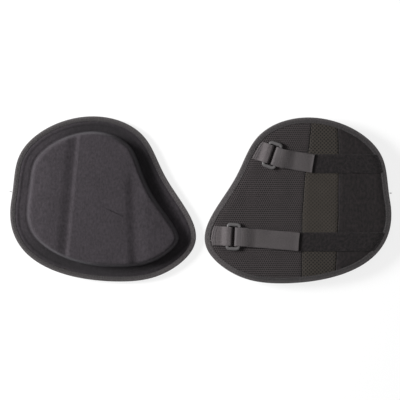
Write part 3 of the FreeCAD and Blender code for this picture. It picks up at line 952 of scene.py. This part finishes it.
def stitch_group():
    """One short round stitch on each point of a mesh, turned by the point's own "turn"."""
    tree = bpy.data.node_groups.new("stitch_row", "GeometryNodeTree")
    tree.interface.new_socket("Geometry", in_out="INPUT", socket_type="NodeSocketGeometry")
    for label, kind, value in (("Stitch Length", "NodeSocketFloat", 2.0 * MM),
                               ("Thread Width", "NodeSocketFloat", 0.5 * MM),
                               ("Unevenness", "NodeSocketFloat", 0.1),
                               ("Seed", "NodeSocketInt", 7)):
        socket = tree.interface.new_socket(label, in_out="INPUT", socket_type=kind)
        socket.default_value = value
    tree.interface.new_socket("Thread", in_out="INPUT", socket_type="NodeSocketMaterial")
    tree.interface.new_socket("Geometry", in_out="OUTPUT", socket_type="NodeSocketGeometry")
    s = Shader(tree)
    start = s.add("NodeGroupInput")
    end = s.add("NodeGroupOutput")
    ball = s.add("GeometryNodeMeshUVSphere", {"Segments": 8, "Rings": 5, "Radius": 0.5})
    turn = s.add("GeometryNodeInputNamedAttribute", {"Name": "turn"}, data_type="FLOAT_VECTOR")
    as_rotation = s.add("FunctionNodeEulerToRotation")
    s.link(turn.outputs["Attribute"], as_rotation.inputs[0])
    scatter = s.add("FunctionNodeRandomValue", data_type="FLOAT")
    s.link(s.minus(1.0, start.outputs["Unevenness"]), scatter.inputs[2])
    s.link(s.plus(1.0, start.outputs["Unevenness"]), scatter.inputs[3])
    s.link(start.outputs["Seed"], scatter.inputs["Seed"])
    size = s.add("ShaderNodeCombineXYZ")
    s.link(s.times(start.outputs["Stitch Length"], scatter.outputs[1]), size.inputs[0])
    s.link(start.outputs["Thread Width"], size.inputs[1])
    s.link(start.outputs["Thread Width"], size.inputs[2])
    place = s.add("GeometryNodeInstanceOnPoints")
    s.link(start.outputs["Geometry"], place.inputs["Points"])
    s.link(ball.outputs["Mesh"], place.inputs["Instance"])
    s.link(as_rotation.outputs[0], place.inputs["Rotation"])
    s.link(size.outputs[0], place.inputs["Scale"])
    real = s.add("GeometryNodeRealizeInstances")
    s.link(place.outputs[0], real.inputs[0])
    colour = s.add("GeometryNodeSetMaterial")
    s.link(real.outputs[0], colour.inputs["Geometry"])
    s.link(start.outputs["Thread"], colour.inputs["Material"])
    s.link(colour.outputs[0], end.inputs[0])
    return tree


def along_line(line, kind, normal=(0, 0, 1)):
    """Places for one kind of stitch along a line, with the way along it and the way up."""
    points = even_path(np.asarray(line), STITCH_KINDS[kind][0])
    up = np.tile(np.asarray(normal, float), (len(points), 1))
    return points, unit_rows(np.gradient(points, axis=0)), up


def turned(ahead, up):
    """Euler angles that lay a stitch's own x along the seam and its z up."""
    angles = []
    for x, z in zip(ahead, up):
        y = np.cross(z, x)
        y /= np.linalg.norm(y)
        z = np.cross(x, y)
        angles.append(tuple(Matrix((x, y, z)).transposed().to_euler()))
    return angles


def sew(name, pad, body, runs, thread, kind):
    """Stitches on all the runs as one piece that rides on a body."""
    _, length, width, seed = STITCH_KINDS[kind]
    places = pad.to_row(np.vstack([r[0] for r in runs]))
    ahead = np.vstack([r[1] for r in runs]) * pad.turn
    up = np.vstack([r[2] for r in runs]) * pad.turn
    holder = new_object(name + "_places", places, [])
    turn = holder.data.attributes.new("turn", "FLOAT_VECTOR", "POINT")
    turn.data.foreach_set("vector", np.array(turned(ahead, up), np.float32).ravel())
    tree = STITCHES["tree"]
    modifier = holder.modifiers.new("stitches", "NODES")
    modifier.node_group = tree
    wanted = {"Stitch Length": length, "Thread Width": width, "Unevenness": 0.12, "Seed": seed,
              "Thread": thread}
    for item in tree.interface.items_tree:
        if item.in_out == "INPUT" and item.name in wanted:
            modifier[item.identifier] = wanted[item.name]
    holder.update_tag()
    piece = linked(name, frozen_mesh(holder))
    piece.data.shade_smooth()
    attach(piece, body)
    return piece


STITCHES = {}
# Each kind of stitching: pitch, stitch length and thread width in metres, and the seed.
STITCH_KINDS = {
    "binding": (3.1 * MM, 2.3 * MM, 0.45 * MM, 3),
    "lining": (3.9 * MM, 2.7 * MM, 0.6 * MM, 5),
    "tail": (0, 4.4 * MM, 0.5 * MM, 9),
    "tab": (2.4 * MM, 1.9 * MM, 0.5 * MM, 11),
    "bar_tack": (0, 2.0 * MM, 0.5 * MM, 13),
}


THREAD_JOIN = (122.8 * MM, 9.3 * MM, -1.7 * MM)


def closed_line(pad, inset, height):
    ring = pad.outline + pad.inward * inset
    ring = np.vstack([ring, ring[:1]])
    return np.column_stack([ring, np.full(len(ring), height)])


def sew_pad(pad, paints):
    """The pad's seams: the binding on both faces, the two lining seams and the binding's join."""
    back = closed_line(pad, BACK_SEAM, float(back_height(BACK_SEAM)) + 0.42 * MM)
    front = closed_line(pad, FRONT_SEAM, -float(flange_height(FRONT_SEAM)) - 0.40 * MM)
    runs = [along_line(back, "binding"), along_line(front, "binding", (0, 0, -1))]
    sew(pad.side + "_binding_stitches", pad, pad.body, runs, paints["thread"], "binding")
    runs = []
    for values, shift in ((LOBE_SEAM_X, -1.4), (LOBE_SEAM_X, 1.4), (ROUND_SEAM_X, 1.5)):
        y = np.linspace(pad.outline[:, 1].min(), pad.outline[:, 1].max(), 300)
        x = seam_x(y, values) + shift * MM
        inside = pad.inset_of(x, y) > BACK_BINDING + 0.4 * MM
        x, y = x[inside], y[inside]
        line = np.column_stack([x, y, lining_height(pad, x, y) + 0.12 * MM])
        runs.append(along_line(line, "lining"))
    sew(pad.side + "_lining_stitches", pad, pad.body, runs, paints["dark_thread"], "lining")
    join = np.array(THREAD_JOIN)
    out = unit_rows(np.array([[1.0, 0.1, 0.05], [0.96, -0.25, -0.1]]))
    tails = (np.array([join, join + np.array([0, 0.8, 0.6]) * MM]), out, np.array([[0, 0, 1.0]] * 2))
    sew(pad.side + "_thread_ends", pad, pad.body, [tails], paints["dark_thread"], "tail")


def sew_strap(strap, paints):
    """Bar tacks at the anchor's sewn end, and the rows that hold the tab to the elastic."""
    pad = strap.pad
    out = -strap.across
    share = np.linspace(-0.93, 0.93, 40)
    lengths = np.interp(share, np.linspace(-1, 1, WEB_COLUMNS + 1), strap.anchor_lengths)
    tacks = []
    for back_from_end in (1.7 * MM, 4.6 * MM):
        base = strap.fixed_bar + strap.along * (share * WEB_WIDTH / 2 * 1.03)[:, None]
        places = base + out * (lengths - back_from_end)[:, None]
        ground = back_height(pad.inset_of(places[:, 0], places[:, 1]))
        places[:, 2] = ground + 0.2 * MM + WEB * 2 + 0.02 * MM
        slant = np.where(np.arange(len(share)) % 2 == 0, 0.35, -0.35)
        ahead = unit_rows(out + strap.along * slant[:, None])
        tacks.append((places, ahead, np.tile([0, 0, 1.0], (len(share), 1))))
    rows = []
    side = np.array([strap.tab_way[1], -strap.tab_way[0], 0.0])
    for reach in (4.9, 7.0, 9.1):
        middle = strap.seam + strap.tab_way * reach * MM
        middle[2] = tab_height(strap, reach * MM) + 0.52 * MM
        ends = np.array([middle - side * 11.2 * MM, middle + side * 11.2 * MM])
        rows.append(along_line(ends, "tab"))
    sew(strap.name + "_tab_stitches", pad, strap.tab_body, rows, paints["web_thread"], "tab")
    return tacks


# ====================================================================================================
# Materials
# ====================================================================================================

class Shader:
    """A material's node tree, with short ways to add nodes."""

    def __init__(self, tree):
        self.tree = tree

    def add(self, kind, inputs=(), **settings):
        node = self.tree.nodes.new(kind)
        for name, value in settings.items():
            setattr(node, name, value)
        for name, value in dict(inputs).items():
            node.inputs[name].default_value = value
        return node

    def link(self, source, target):
        self.tree.links.new(source, target)

    def math(self, operation, a, b=None):
        node = self.add("ShaderNodeMath", operation=operation)
        for socket, value in zip(node.inputs, (a, b)):
            if value is None:
                continue
            if isinstance(value, (int, float)):
                socket.default_value = value
            else:
                self.link(value, socket)
        return node.outputs[0]

    def times(self, a, b):
        return self.math("MULTIPLY", a, b)

    def plus(self, a, b):
        return self.math("ADD", a, b)

    def minus(self, a, b):
        return self.math("SUBTRACT", a, b)


def empty_shader(owner):
    owner.use_nodes = True
    owner.node_tree.nodes.clear()
    return Shader(owner.node_tree)


def make_group(name, inputs, outputs):
    tree = bpy.data.node_groups.new(name, "ShaderNodeTree")
    for label, kind, value in inputs:
        socket = tree.interface.new_socket(label, in_out="INPUT", socket_type=kind)
        if value is not None:
            socket.default_value = value
    for label, kind in outputs:
        tree.interface.new_socket(label, in_out="OUTPUT", socket_type=kind)
    shader = Shader(tree)
    return shader, shader.add("NodeGroupInput"), shader.add("NodeGroupOutput")


def group_ribs():
    """Ribs along a tape, crossed by picks: height and shade from a position in millimetres."""
    s, start, end = make_group(
        "tape_ribs",
        [("Position", "NodeSocketVector", None), ("Rib Pitch", "NodeSocketFloat", 1.6),
         ("Pick Pitch", "NodeSocketFloat", 0.9), ("Pick Share", "NodeSocketFloat", 0.5)],
        [("Height", "NodeSocketFloat"), ("Shade", "NodeSocketFloat")])
    split = s.add("ShaderNodeSeparateXYZ")
    s.link(start.outputs["Position"], split.inputs[0])
    rib_phase = s.math("DIVIDE", split.outputs[0], start.outputs["Rib Pitch"])
    pick_phase = s.math("DIVIDE", split.outputs[1], start.outputs["Pick Pitch"])
    rib = s.math("SINE", s.times(rib_phase, 2 * math.pi))
    stagger = s.times(s.math("FLOOR", rib_phase), 0.5)
    pick = s.math("SINE", s.times(s.plus(pick_phase, stagger), 2 * math.pi))
    mixed = s.plus(rib, s.times(pick, start.outputs["Pick Share"]))
    s.link(s.times(mixed, 0.5), end.inputs["Height"])
    s.link(s.plus(s.times(mixed, 0.12), 1.0), end.inputs["Shade"])
    return s.tree


def group_fuzz():
    """Fine fibre unevenness with slow patches: height and shade from a position in millimetres."""
    s, start, end = make_group(
        "fibre_fuzz",
        [("Position", "NodeSocketVector", None), ("Fibre Size", "NodeSocketFloat", 0.8),
         ("Stretch", "NodeSocketFloat", 1.0), ("Contrast", "NodeSocketFloat", 0.3)],
        [("Height", "NodeSocketFloat"), ("Shade", "NodeSocketFloat")])
    split = s.add("ShaderNodeSeparateXYZ")
    s.link(start.outputs["Position"], split.inputs[0])
    join = s.add("ShaderNodeCombineXYZ")
    s.link(split.outputs[0], join.inputs[0])
    s.link(s.times(split.outputs[1], start.outputs["Stretch"]), join.inputs[1])
    s.link(split.outputs[2], join.inputs[2])
    scale = s.math("DIVIDE", 1.0, start.outputs["Fibre Size"])
    fine = s.add("ShaderNodeTexNoise", {"Detail": 3.0, "Roughness": 0.65})
    s.link(join.outputs[0], fine.inputs["Vector"])
    s.link(scale, fine.inputs["Scale"])
    slow = s.add("ShaderNodeTexNoise", {"Scale": 0.05, "Detail": 2.0})
    s.link(start.outputs["Position"], slow.inputs["Vector"])
    centred = s.minus(fine.outputs["Fac"], 0.5)
    patch = s.times(s.minus(slow.outputs["Fac"], 0.5), 0.35)
    shade = s.times(centred, start.outputs["Contrast"])
    s.link(s.times(centred, 2.0), end.inputs["Height"])
    s.link(s.plus(s.plus(s.times(shade, 2.0), patch), 1.0), end.inputs["Shade"])
    return s.tree


def group_holes():
    """A knitted mesh's holes on a diagonal grid: a mask that is 1 in a hole, and a height."""
    s, start, end = make_group(
        "mesh_holes",
        [("Position", "NodeSocketVector", None), ("Pitch", "NodeSocketFloat", 2.0),
         ("Stagger", "NodeSocketFloat", 0.5), ("Hole", "NodeSocketFloat", 0.5),
         ("Soft", "NodeSocketFloat", 0.2)],
        [("Mask", "NodeSocketFloat"), ("Height", "NodeSocketFloat")])
    split = s.add("ShaderNodeSeparateXYZ")
    s.link(start.outputs["Position"], split.inputs[0])
    row = s.math("DIVIDE", split.outputs[1], start.outputs["Pitch"])
    column = s.math("DIVIDE", split.outputs[0], start.outputs["Pitch"])
    shift = s.times(s.math("FLOOR", row), start.outputs["Stagger"])
    a = s.math("COSINE", s.times(s.plus(column, shift), 2 * math.pi))
    b = s.math("COSINE", s.times(s.minus(row, 0.5), 2 * math.pi))
    field = s.times(s.plus(s.plus(a, b), 2.0), 0.25)
    away = s.minus(field, s.minus(1.0, start.outputs["Hole"]))
    mask = s.add("ShaderNodeMath", operation="DIVIDE", use_clamp=True)
    s.link(away, mask.inputs[0])
    s.link(start.outputs["Soft"], mask.inputs[1])
    s.link(mask.outputs[0], end.inputs["Mask"])
    s.link(s.times(mask.outputs[0], -1.0), end.inputs["Height"])
    return s.tree


GROUPS = {}


def start_material(name, roughness, sheen=0.0, tint=(1.0, 1.0, 1.0), specular=0.25):
    material = bpy.data.materials.new(name)
    s = empty_shader(material)
    surface = s.add("ShaderNodeBsdfPrincipled", {
        "Roughness": roughness, "Sheen Weight": sheen, "Sheen Roughness": 0.45,
        "Sheen Tint": (*tint, 1.0), "Specular IOR Level": specular})
    out = s.add("ShaderNodeOutputMaterial")
    s.link(surface.outputs[0], out.inputs["Surface"])
    return material, s, surface


def position_in_mm(s, from_uv=False, turn=0.0):
    """Millimetres on the object, or along the tape where the piece has its own UV map."""
    if from_uv:
        return s.add("ShaderNodeUVMap", uv_map="tape").outputs[0]
    where = s.add("ShaderNodeTexCoord")
    mapping = s.add("ShaderNodeMapping", {"Scale": (1000, 1000, 1000), "Rotation": (0, 0, turn)})
    s.link(where.outputs["Object"], mapping.inputs["Vector"])
    return mapping.outputs[0]


def use_group(s, name, position, **values):
    node = s.add("ShaderNodeGroup")
    node.node_tree = GROUPS[name]
    s.link(position, node.inputs["Position"])
    for label, value in values.items():
        node.inputs[label.replace("_", " ")].default_value = value
    return node


def tinted(s, colour, shade):
    """The base colour times a shade that varies over the surface."""
    mix = s.add("ShaderNodeMix", {"Factor": 1.0}, data_type="RGBA", blend_type="MULTIPLY")
    mix.inputs[6].default_value = (*colour, 1.0)
    s.link(shade, mix.inputs[7])
    return mix.outputs[2]


def add_bump(s, surface, height, distance, strength=1.0):
    node = s.add("ShaderNodeBump", {"Distance": distance, "Strength": strength})
    s.link(height, node.inputs["Height"])
    s.link(node.outputs[0], surface.inputs["Normal"])


def knit_material(name, colour, sheen=0.05, grain=2.6, contrast=0.55, painted_shade=False):
    """Brushed stretch knit: fine wales, fibre fuzz and slow patches, with painted shade where the piece's
    amount is high.
    """
    material, s, surface = start_material(name, 0.92, sheen, (0.9, 0.88, 0.95))
    position = position_in_mm(s)
    wales = use_group(s, "tape_ribs", position, Rib_Pitch=1.15, Pick_Pitch=1.5, Pick_Share=0.7)
    fuzz = use_group(s, "fibre_fuzz", position, Fibre_Size=grain, Stretch=0.6, Contrast=contrast)
    shade = s.times(wales.outputs["Shade"], fuzz.outputs["Shade"])
    if painted_shade:
        shade = add_painted_shade(s, shade)
    s.link(tinted(s, colour, shade), surface.inputs["Base Color"])
    height = s.plus(s.times(wales.outputs["Height"], 0.5), fuzz.outputs["Height"])
    add_bump(s, surface, height, 0.16 * MM, 0.8)
    return material


def mesh_material(name, thread, hole, pitch, hole_share, turn=0.0, stagger=0.5, depth=0.35, fade=False):
    """Knitted mesh: threads round dark holes on a diagonal grid, softer where it lies slack."""
    material, s, surface = start_material(name, 0.88, 0.04)
    position = position_in_mm(s, turn=turn)
    holes = use_group(s, "mesh_holes", position, Pitch=pitch, Hole=hole_share, Stagger=stagger, Soft=0.25)
    fuzz = use_group(s, "fibre_fuzz", position, Fibre_Size=0.7, Contrast=0.35)
    mix = s.add("ShaderNodeMix", data_type="RGBA")
    mask = holes.outputs["Mask"]
    if fade:
        slack = s.add("ShaderNodeAttribute", attribute_name="slack")
        mask = s.times(mask, s.minus(1.0, slack.outputs["Fac"]))
    s.link(mask, mix.inputs["Factor"])
    s.link(tinted(s, thread, fuzz.outputs["Shade"]), mix.inputs[6])
    mix.inputs[7].default_value = (*hole, 1.0)
    s.link(mix.outputs[2], surface.inputs["Base Color"])
    height = s.plus(holes.outputs["Height"], s.times(fuzz.outputs["Height"], 0.25))
    add_bump(s, surface, height, depth * MM)
    return material


def add_painted_shade(s, shade, amount=0.30):
    """A shade made darker where the piece's own painted-shade amount is high, as painted shade."""
    painted_shade = s.add("ShaderNodeAttribute", attribute_name="painted_shade")
    darker = s.minus(1.0, s.times(painted_shade.outputs["Fac"], amount))
    return s.times(shade, darker)


def webbing_material(name, colour, rib=1.7, pick=0.8, share=0.5, sheen=0.05, depth=0.18,
                     contrast=0.5, painted_shade=False):
    """Woven tape with ribs along its length."""
    material, s, surface = start_material(name, 0.75, sheen)
    position = position_in_mm(s, from_uv=True)
    ribs = use_group(s, "tape_ribs", position, Rib_Pitch=rib, Pick_Pitch=pick, Pick_Share=share)
    fuzz = use_group(s, "fibre_fuzz", position, Fibre_Size=1.6, Contrast=contrast)
    shade = s.times(ribs.outputs["Shade"], fuzz.outputs["Shade"])
    # Painted shade from the piece's own amount.
    if painted_shade:
        shade = add_painted_shade(s, shade)
    s.link(tinted(s, colour, shade), surface.inputs["Base Color"])
    height = s.plus(ribs.outputs["Height"], s.times(fuzz.outputs["Height"], 0.4))
    add_bump(s, surface, height, depth * MM)
    return material


def pile_material(name, colour):
    """Loop pile: dark clumps of loops with lighter tips."""
    material, s, surface = start_material(name, 0.95, 0.08)
    position = position_in_mm(s, from_uv=True)
    loops = use_group(s, "fibre_fuzz", position, Fibre_Size=3.6, Contrast=3.4)
    fine = use_group(s, "fibre_fuzz", position, Fibre_Size=0.9, Contrast=0.6)
    shade = s.times(loops.outputs["Shade"], fine.outputs["Shade"])
    s.link(tinted(s, colour, shade), surface.inputs["Base Color"])
    height = s.plus(loops.outputs["Height"], s.times(fine.outputs["Height"], 0.5))
    add_bump(s, surface, height, 0.5 * MM)
    return material


def plastic_material(name, colour):
    """Satin moulded plastic with a fine grain and slight scuffs."""
    material, s, surface = start_material(name, 0.42, specular=0.4)
    position = position_in_mm(s)
    grain = use_group(s, "fibre_fuzz", position, Fibre_Size=0.35, Contrast=0.12)
    s.link(tinted(s, colour, grain.outputs["Shade"]), surface.inputs["Base Color"])
    rough = s.times(grain.outputs["Shade"], 0.42)
    s.link(rough, surface.inputs["Roughness"])
    add_bump(s, surface, grain.outputs["Height"], 0.03 * MM)
    return material


def thread_material(name, colour):
    """Twisted thread."""
    material, s, surface = start_material(name, 0.7)
    position = position_in_mm(s)
    twist = use_group(s, "tape_ribs", position, Rib_Pitch=0.45, Pick_Pitch=0.5, Pick_Share=0.6)
    s.link(tinted(s, colour, twist.outputs["Shade"]), surface.inputs["Base Color"])
    add_bump(s, surface, twist.outputs["Height"], 0.05 * MM)
    return material


def make_materials():
    GROUPS["tape_ribs"] = group_ribs()
    GROUPS["fibre_fuzz"] = group_fuzz()
    GROUPS["mesh_holes"] = group_holes()
    return {
        # The cover and the rim tape carry painted shade.
        "cover": knit_material("brushed_charcoal_knit", (0.0220, 0.0184, 0.0217), contrast=0.9,
                               painted_shade=True),
        "dotted": mesh_material("fine_dotted_mesh", (0.0365, 0.0300, 0.0310),
                                (0.003, 0.0027, 0.0027), 2.75, 0.60),
        "open": mesh_material("coarse_open_mesh", (0.0258, 0.0214, 0.0174),
                              (0.002, 0.0018, 0.0015), 3.5, 0.50,
                              turn=math.pi / 4, stagger=0.0, fade=True),
        "plain": knit_material("plain_back_lining", (0.0070, 0.0053, 0.0056), 0.03, 3.2, 2.6),
        "binding": webbing_material("rim_tape", (0.050, 0.0450, 0.0460), 1.1, 1.9, 0.8, contrast=1.3,
                                    painted_shade=True),
        "pile": pile_material("loop_pile", (0.0070, 0.0054, 0.0058)),
        "elastic": webbing_material("ribbed_elastic", (0.062, 0.056, 0.058), 1.5, 0.9, 0.6),
        "anchor": webbing_material("anchor_webbing", (0.064, 0.056, 0.058), 1.9, 0.8, 0.4),
        "tab": webbing_material("hook_tape_back", (0.049, 0.0435, 0.0445), 0.8, 0.8, 1.0,
                                sheen=0.03, depth=0.08),
        "hooks": plastic_material("hook_field_nylon", (0.030, 0.028, 0.030)),
        "ring": plastic_material("ring_plastic", (0.050, 0.047, 0.048)),
        "thread": thread_material("sewing_thread", (0.050, 0.046, 0.048)),
        "dark_thread": thread_material("black_thread", (0.008, 0.0075, 0.008)),
        "web_thread": thread_material("webbing_thread", (0.075, 0.070, 0.072)),
    }


def paint(thing, *materials):
    thing.data.materials.clear()
    for material in materials:
        thing.data.materials.append(material)


# ====================================================================================================
# Stage, light and camera
# ====================================================================================================

CAMERA_HEIGHT = 2.8
VIEW_WIDTH = 0.532           # how wide a strip the view takes in, at the height of the pads
VIEW_LEVEL = 0.012           # the height at which it does
SENSOR = 36.0
FLOOR_REACH = 3.0
FLOOR_DROP = 0.0002          # keeps the floor just under what rests on it
FLOOR_GREY = 0.86
FLOOR_GLOW = 0.82            # how much of the floor's own shading the even white replaces
SKY_LIGHT = 0.11             # soft light from all round
# Square soft lamps that face the pads: place, size and power.
LAMPS = {
    "key_softbox": ((-1.66, 0.36, 1.10), 0.7, 98),
    "top_softbox": ((0.0, 0.3, 1.9), 1.0, 7),
}


def make_stage():
    corners = ((-1, -1), (1, -1), (1, 1), (-1, 1))
    points = [(x * FLOOR_REACH, y * FLOOR_REACH, -FLOOR_DROP) for x, y in corners]
    floor = new_object("studio_floor", points, [(0, 1, 2, 3)])
    material = bpy.data.materials.new("pale_floor")
    s = empty_shader(material)
    matt = s.add("ShaderNodeBsdfDiffuse", {"Color": (FLOOR_GREY, FLOOR_GREY, FLOOR_GREY, 1)})
    glow = s.add("ShaderNodeEmission", {"Strength": 1.0})
    path = s.add("ShaderNodeLightPath")
    seen = s.plus(path.outputs["Is Camera Ray"], path.outputs["Is Glossy Ray"])
    seen = s.times(seen, FLOOR_GLOW)
    mix = s.add("ShaderNodeMixShader")
    s.link(seen, mix.inputs[0])
    s.link(matt.outputs[0], mix.inputs[1])
    s.link(glow.outputs[0], mix.inputs[2])
    out = s.add("ShaderNodeOutputMaterial")
    s.link(mix.outputs[0], out.inputs["Surface"])
    paint(floor, material)


def add_lamp(name, place, size, power):
    lamp = bpy.data.lights.new(name, "AREA")
    lamp.shape = "SQUARE"
    lamp.size = size
    lamp.energy = power
    thing = linked(name, lamp)
    thing.location = place
    thing.rotation_euler = (-Vector(place)).to_track_quat("-Z", "Y").to_euler()


def make_light():
    world = bpy.data.worlds.new("studio")
    bpy.context.scene.world = world
    s = empty_shader(world)
    path = s.add("ShaderNodeLightPath")
    seen = s.math("MAXIMUM", path.outputs["Is Camera Ray"], path.outputs["Is Glossy Ray"])
    strength = s.plus(s.times(seen, 1.0 - SKY_LIGHT), SKY_LIGHT)
    back = s.add("ShaderNodeBackground")
    s.link(strength, back.inputs["Strength"])
    out = s.add("ShaderNodeOutputWorld")
    s.link(back.outputs[0], out.inputs["Surface"])
    for name, (place, size, power) in LAMPS.items():
        add_lamp(name, place, size, power)


def make_camera():
    camera = bpy.data.cameras.new("camera")
    camera.sensor_width = SENSOR
    camera.lens = SENSOR * (CAMERA_HEIGHT - VIEW_LEVEL) / VIEW_WIDTH
    thing = linked("camera", camera)
    thing.location = (-0.0004, 0.0, CAMERA_HEIGHT)
    bpy.context.scene.camera = thing


# ====================================================================================================
# Putting it together
# ====================================================================================================

def finish_piece(piece, look, nodes, body):
    """A finished piece that rides on one body: its material, slot and the nodes it stands for."""
    paint(piece, look)
    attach(piece, body)
    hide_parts(*nodes)


def build_pad(pad, paints):
    side = pad.side
    cover = make_cover(pad)
    foams = [side + "_front_cover", side + "_foam_core", side + "_comfort_foam"]
    finish_piece(cover, paints["cover"], foams, pad.body)

    def far_left(y):
        return np.full_like(y, pad.outline[:, 0].min())

    def far_right(y):
        return np.full_like(y, pad.outline[:, 0].max())

    def lobe_seam(y):
        return seam_x(y, LOBE_SEAM_X)

    def round_seam(y):
        return seam_x(y, ROUND_SEAM_X)

    panels = [
        ("lobe_mesh", "lobe_lining", "dotted_mesh", "dotted", far_left, lobe_seam, 84),
        ("centre_mesh", "centre_lining", "open_mesh", "open", lobe_seam, round_seam, 30),
        ("round_panel", "round_lining", "plain_lining", "plain", round_seam, far_right, 46),
    ]
    for name, node, slot, look, left, right, columns in panels:
        sheet = make_lining(pad, name, left, right, columns)
        finish_piece(sheet, paints[look], [side + "_" + node], pad.body)
    finish_piece(make_binding(pad), paints["binding"], [side + "_edge_binding"], pad.body)


STRAP_BEND = 26 * MM         # free bar to a place along the strap, worked out in build_strap and not used
RING_HOLD = 1.5 * MM         # free bar to a second place along the strap, worked out and not used
TAB_BEND = (1.5 * MM, 4.0 * MM)      # before and past the tab's seam: two places worked out and not used


def paint_band(band, upper, top, under):
    """One material on the band's upper side and one below."""
    paint(band, top, under)
    for polygon, on_top in zip(band.data.polygons, upper):
        polygon.material_index = 0 if on_top else 1


def build_strap(strap, paints):
    pad = strap.pad
    band, upper = make_strap(strap)
    paint_band(band, upper, paints["pile"], paints["elastic"])
    start = pad.to_row([strap.free_bar + strap.across * STRAP_BEND])[0]
    end = pad.to_row([strap.free_bar + strap.across * RING_HOLD])[0]
    start[2] = end[2]
    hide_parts(strap.name + "_strap", strap.name + "_strap_fold")
    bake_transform(band)
    tab, upper = make_tab(strap)
    paint_band(tab, upper, paints["tab"], paints["hooks"])
    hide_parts(strap.name + "_hook_tab", strap.name + "_hook_patch")
    start = pad.to_row([strap.seam - strap.tab_way * TAB_BEND[0]])[0]
    end = pad.to_row([strap.seam + strap.tab_way * TAB_BEND[1]])[0]
    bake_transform(tab)
    finish_piece(make_anchor(strap), paints["anchor"], [strap.name + "_anchor"], pad.body)
    finish_piece(make_ring(strap), paints["ring"], [strap.name + "_ring"], strap.ring_body)
    return sew_strap(strap, paints)


def main():
    paints = make_materials()
    STITCHES["tree"] = stitch_group()
    make_camera()
    make_stage()
    make_light()
    for side in SIDES:
        build_pad(PADS[side], paints)
        sew_pad(PADS[side], paints)
        tacks = []
        for level in LEVELS:
            tacks += build_strap(Strap(PADS[side], level), paints)
        bars = sew(side + "_bar_tack_stitches", PADS[side], PADS[side].body, tacks, paints["thread"],
                   "bar_tack")
        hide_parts(side + "_anchor_bar_tacks")
    bpy.context.scene.view_settings.view_transform = "Standard"


main()
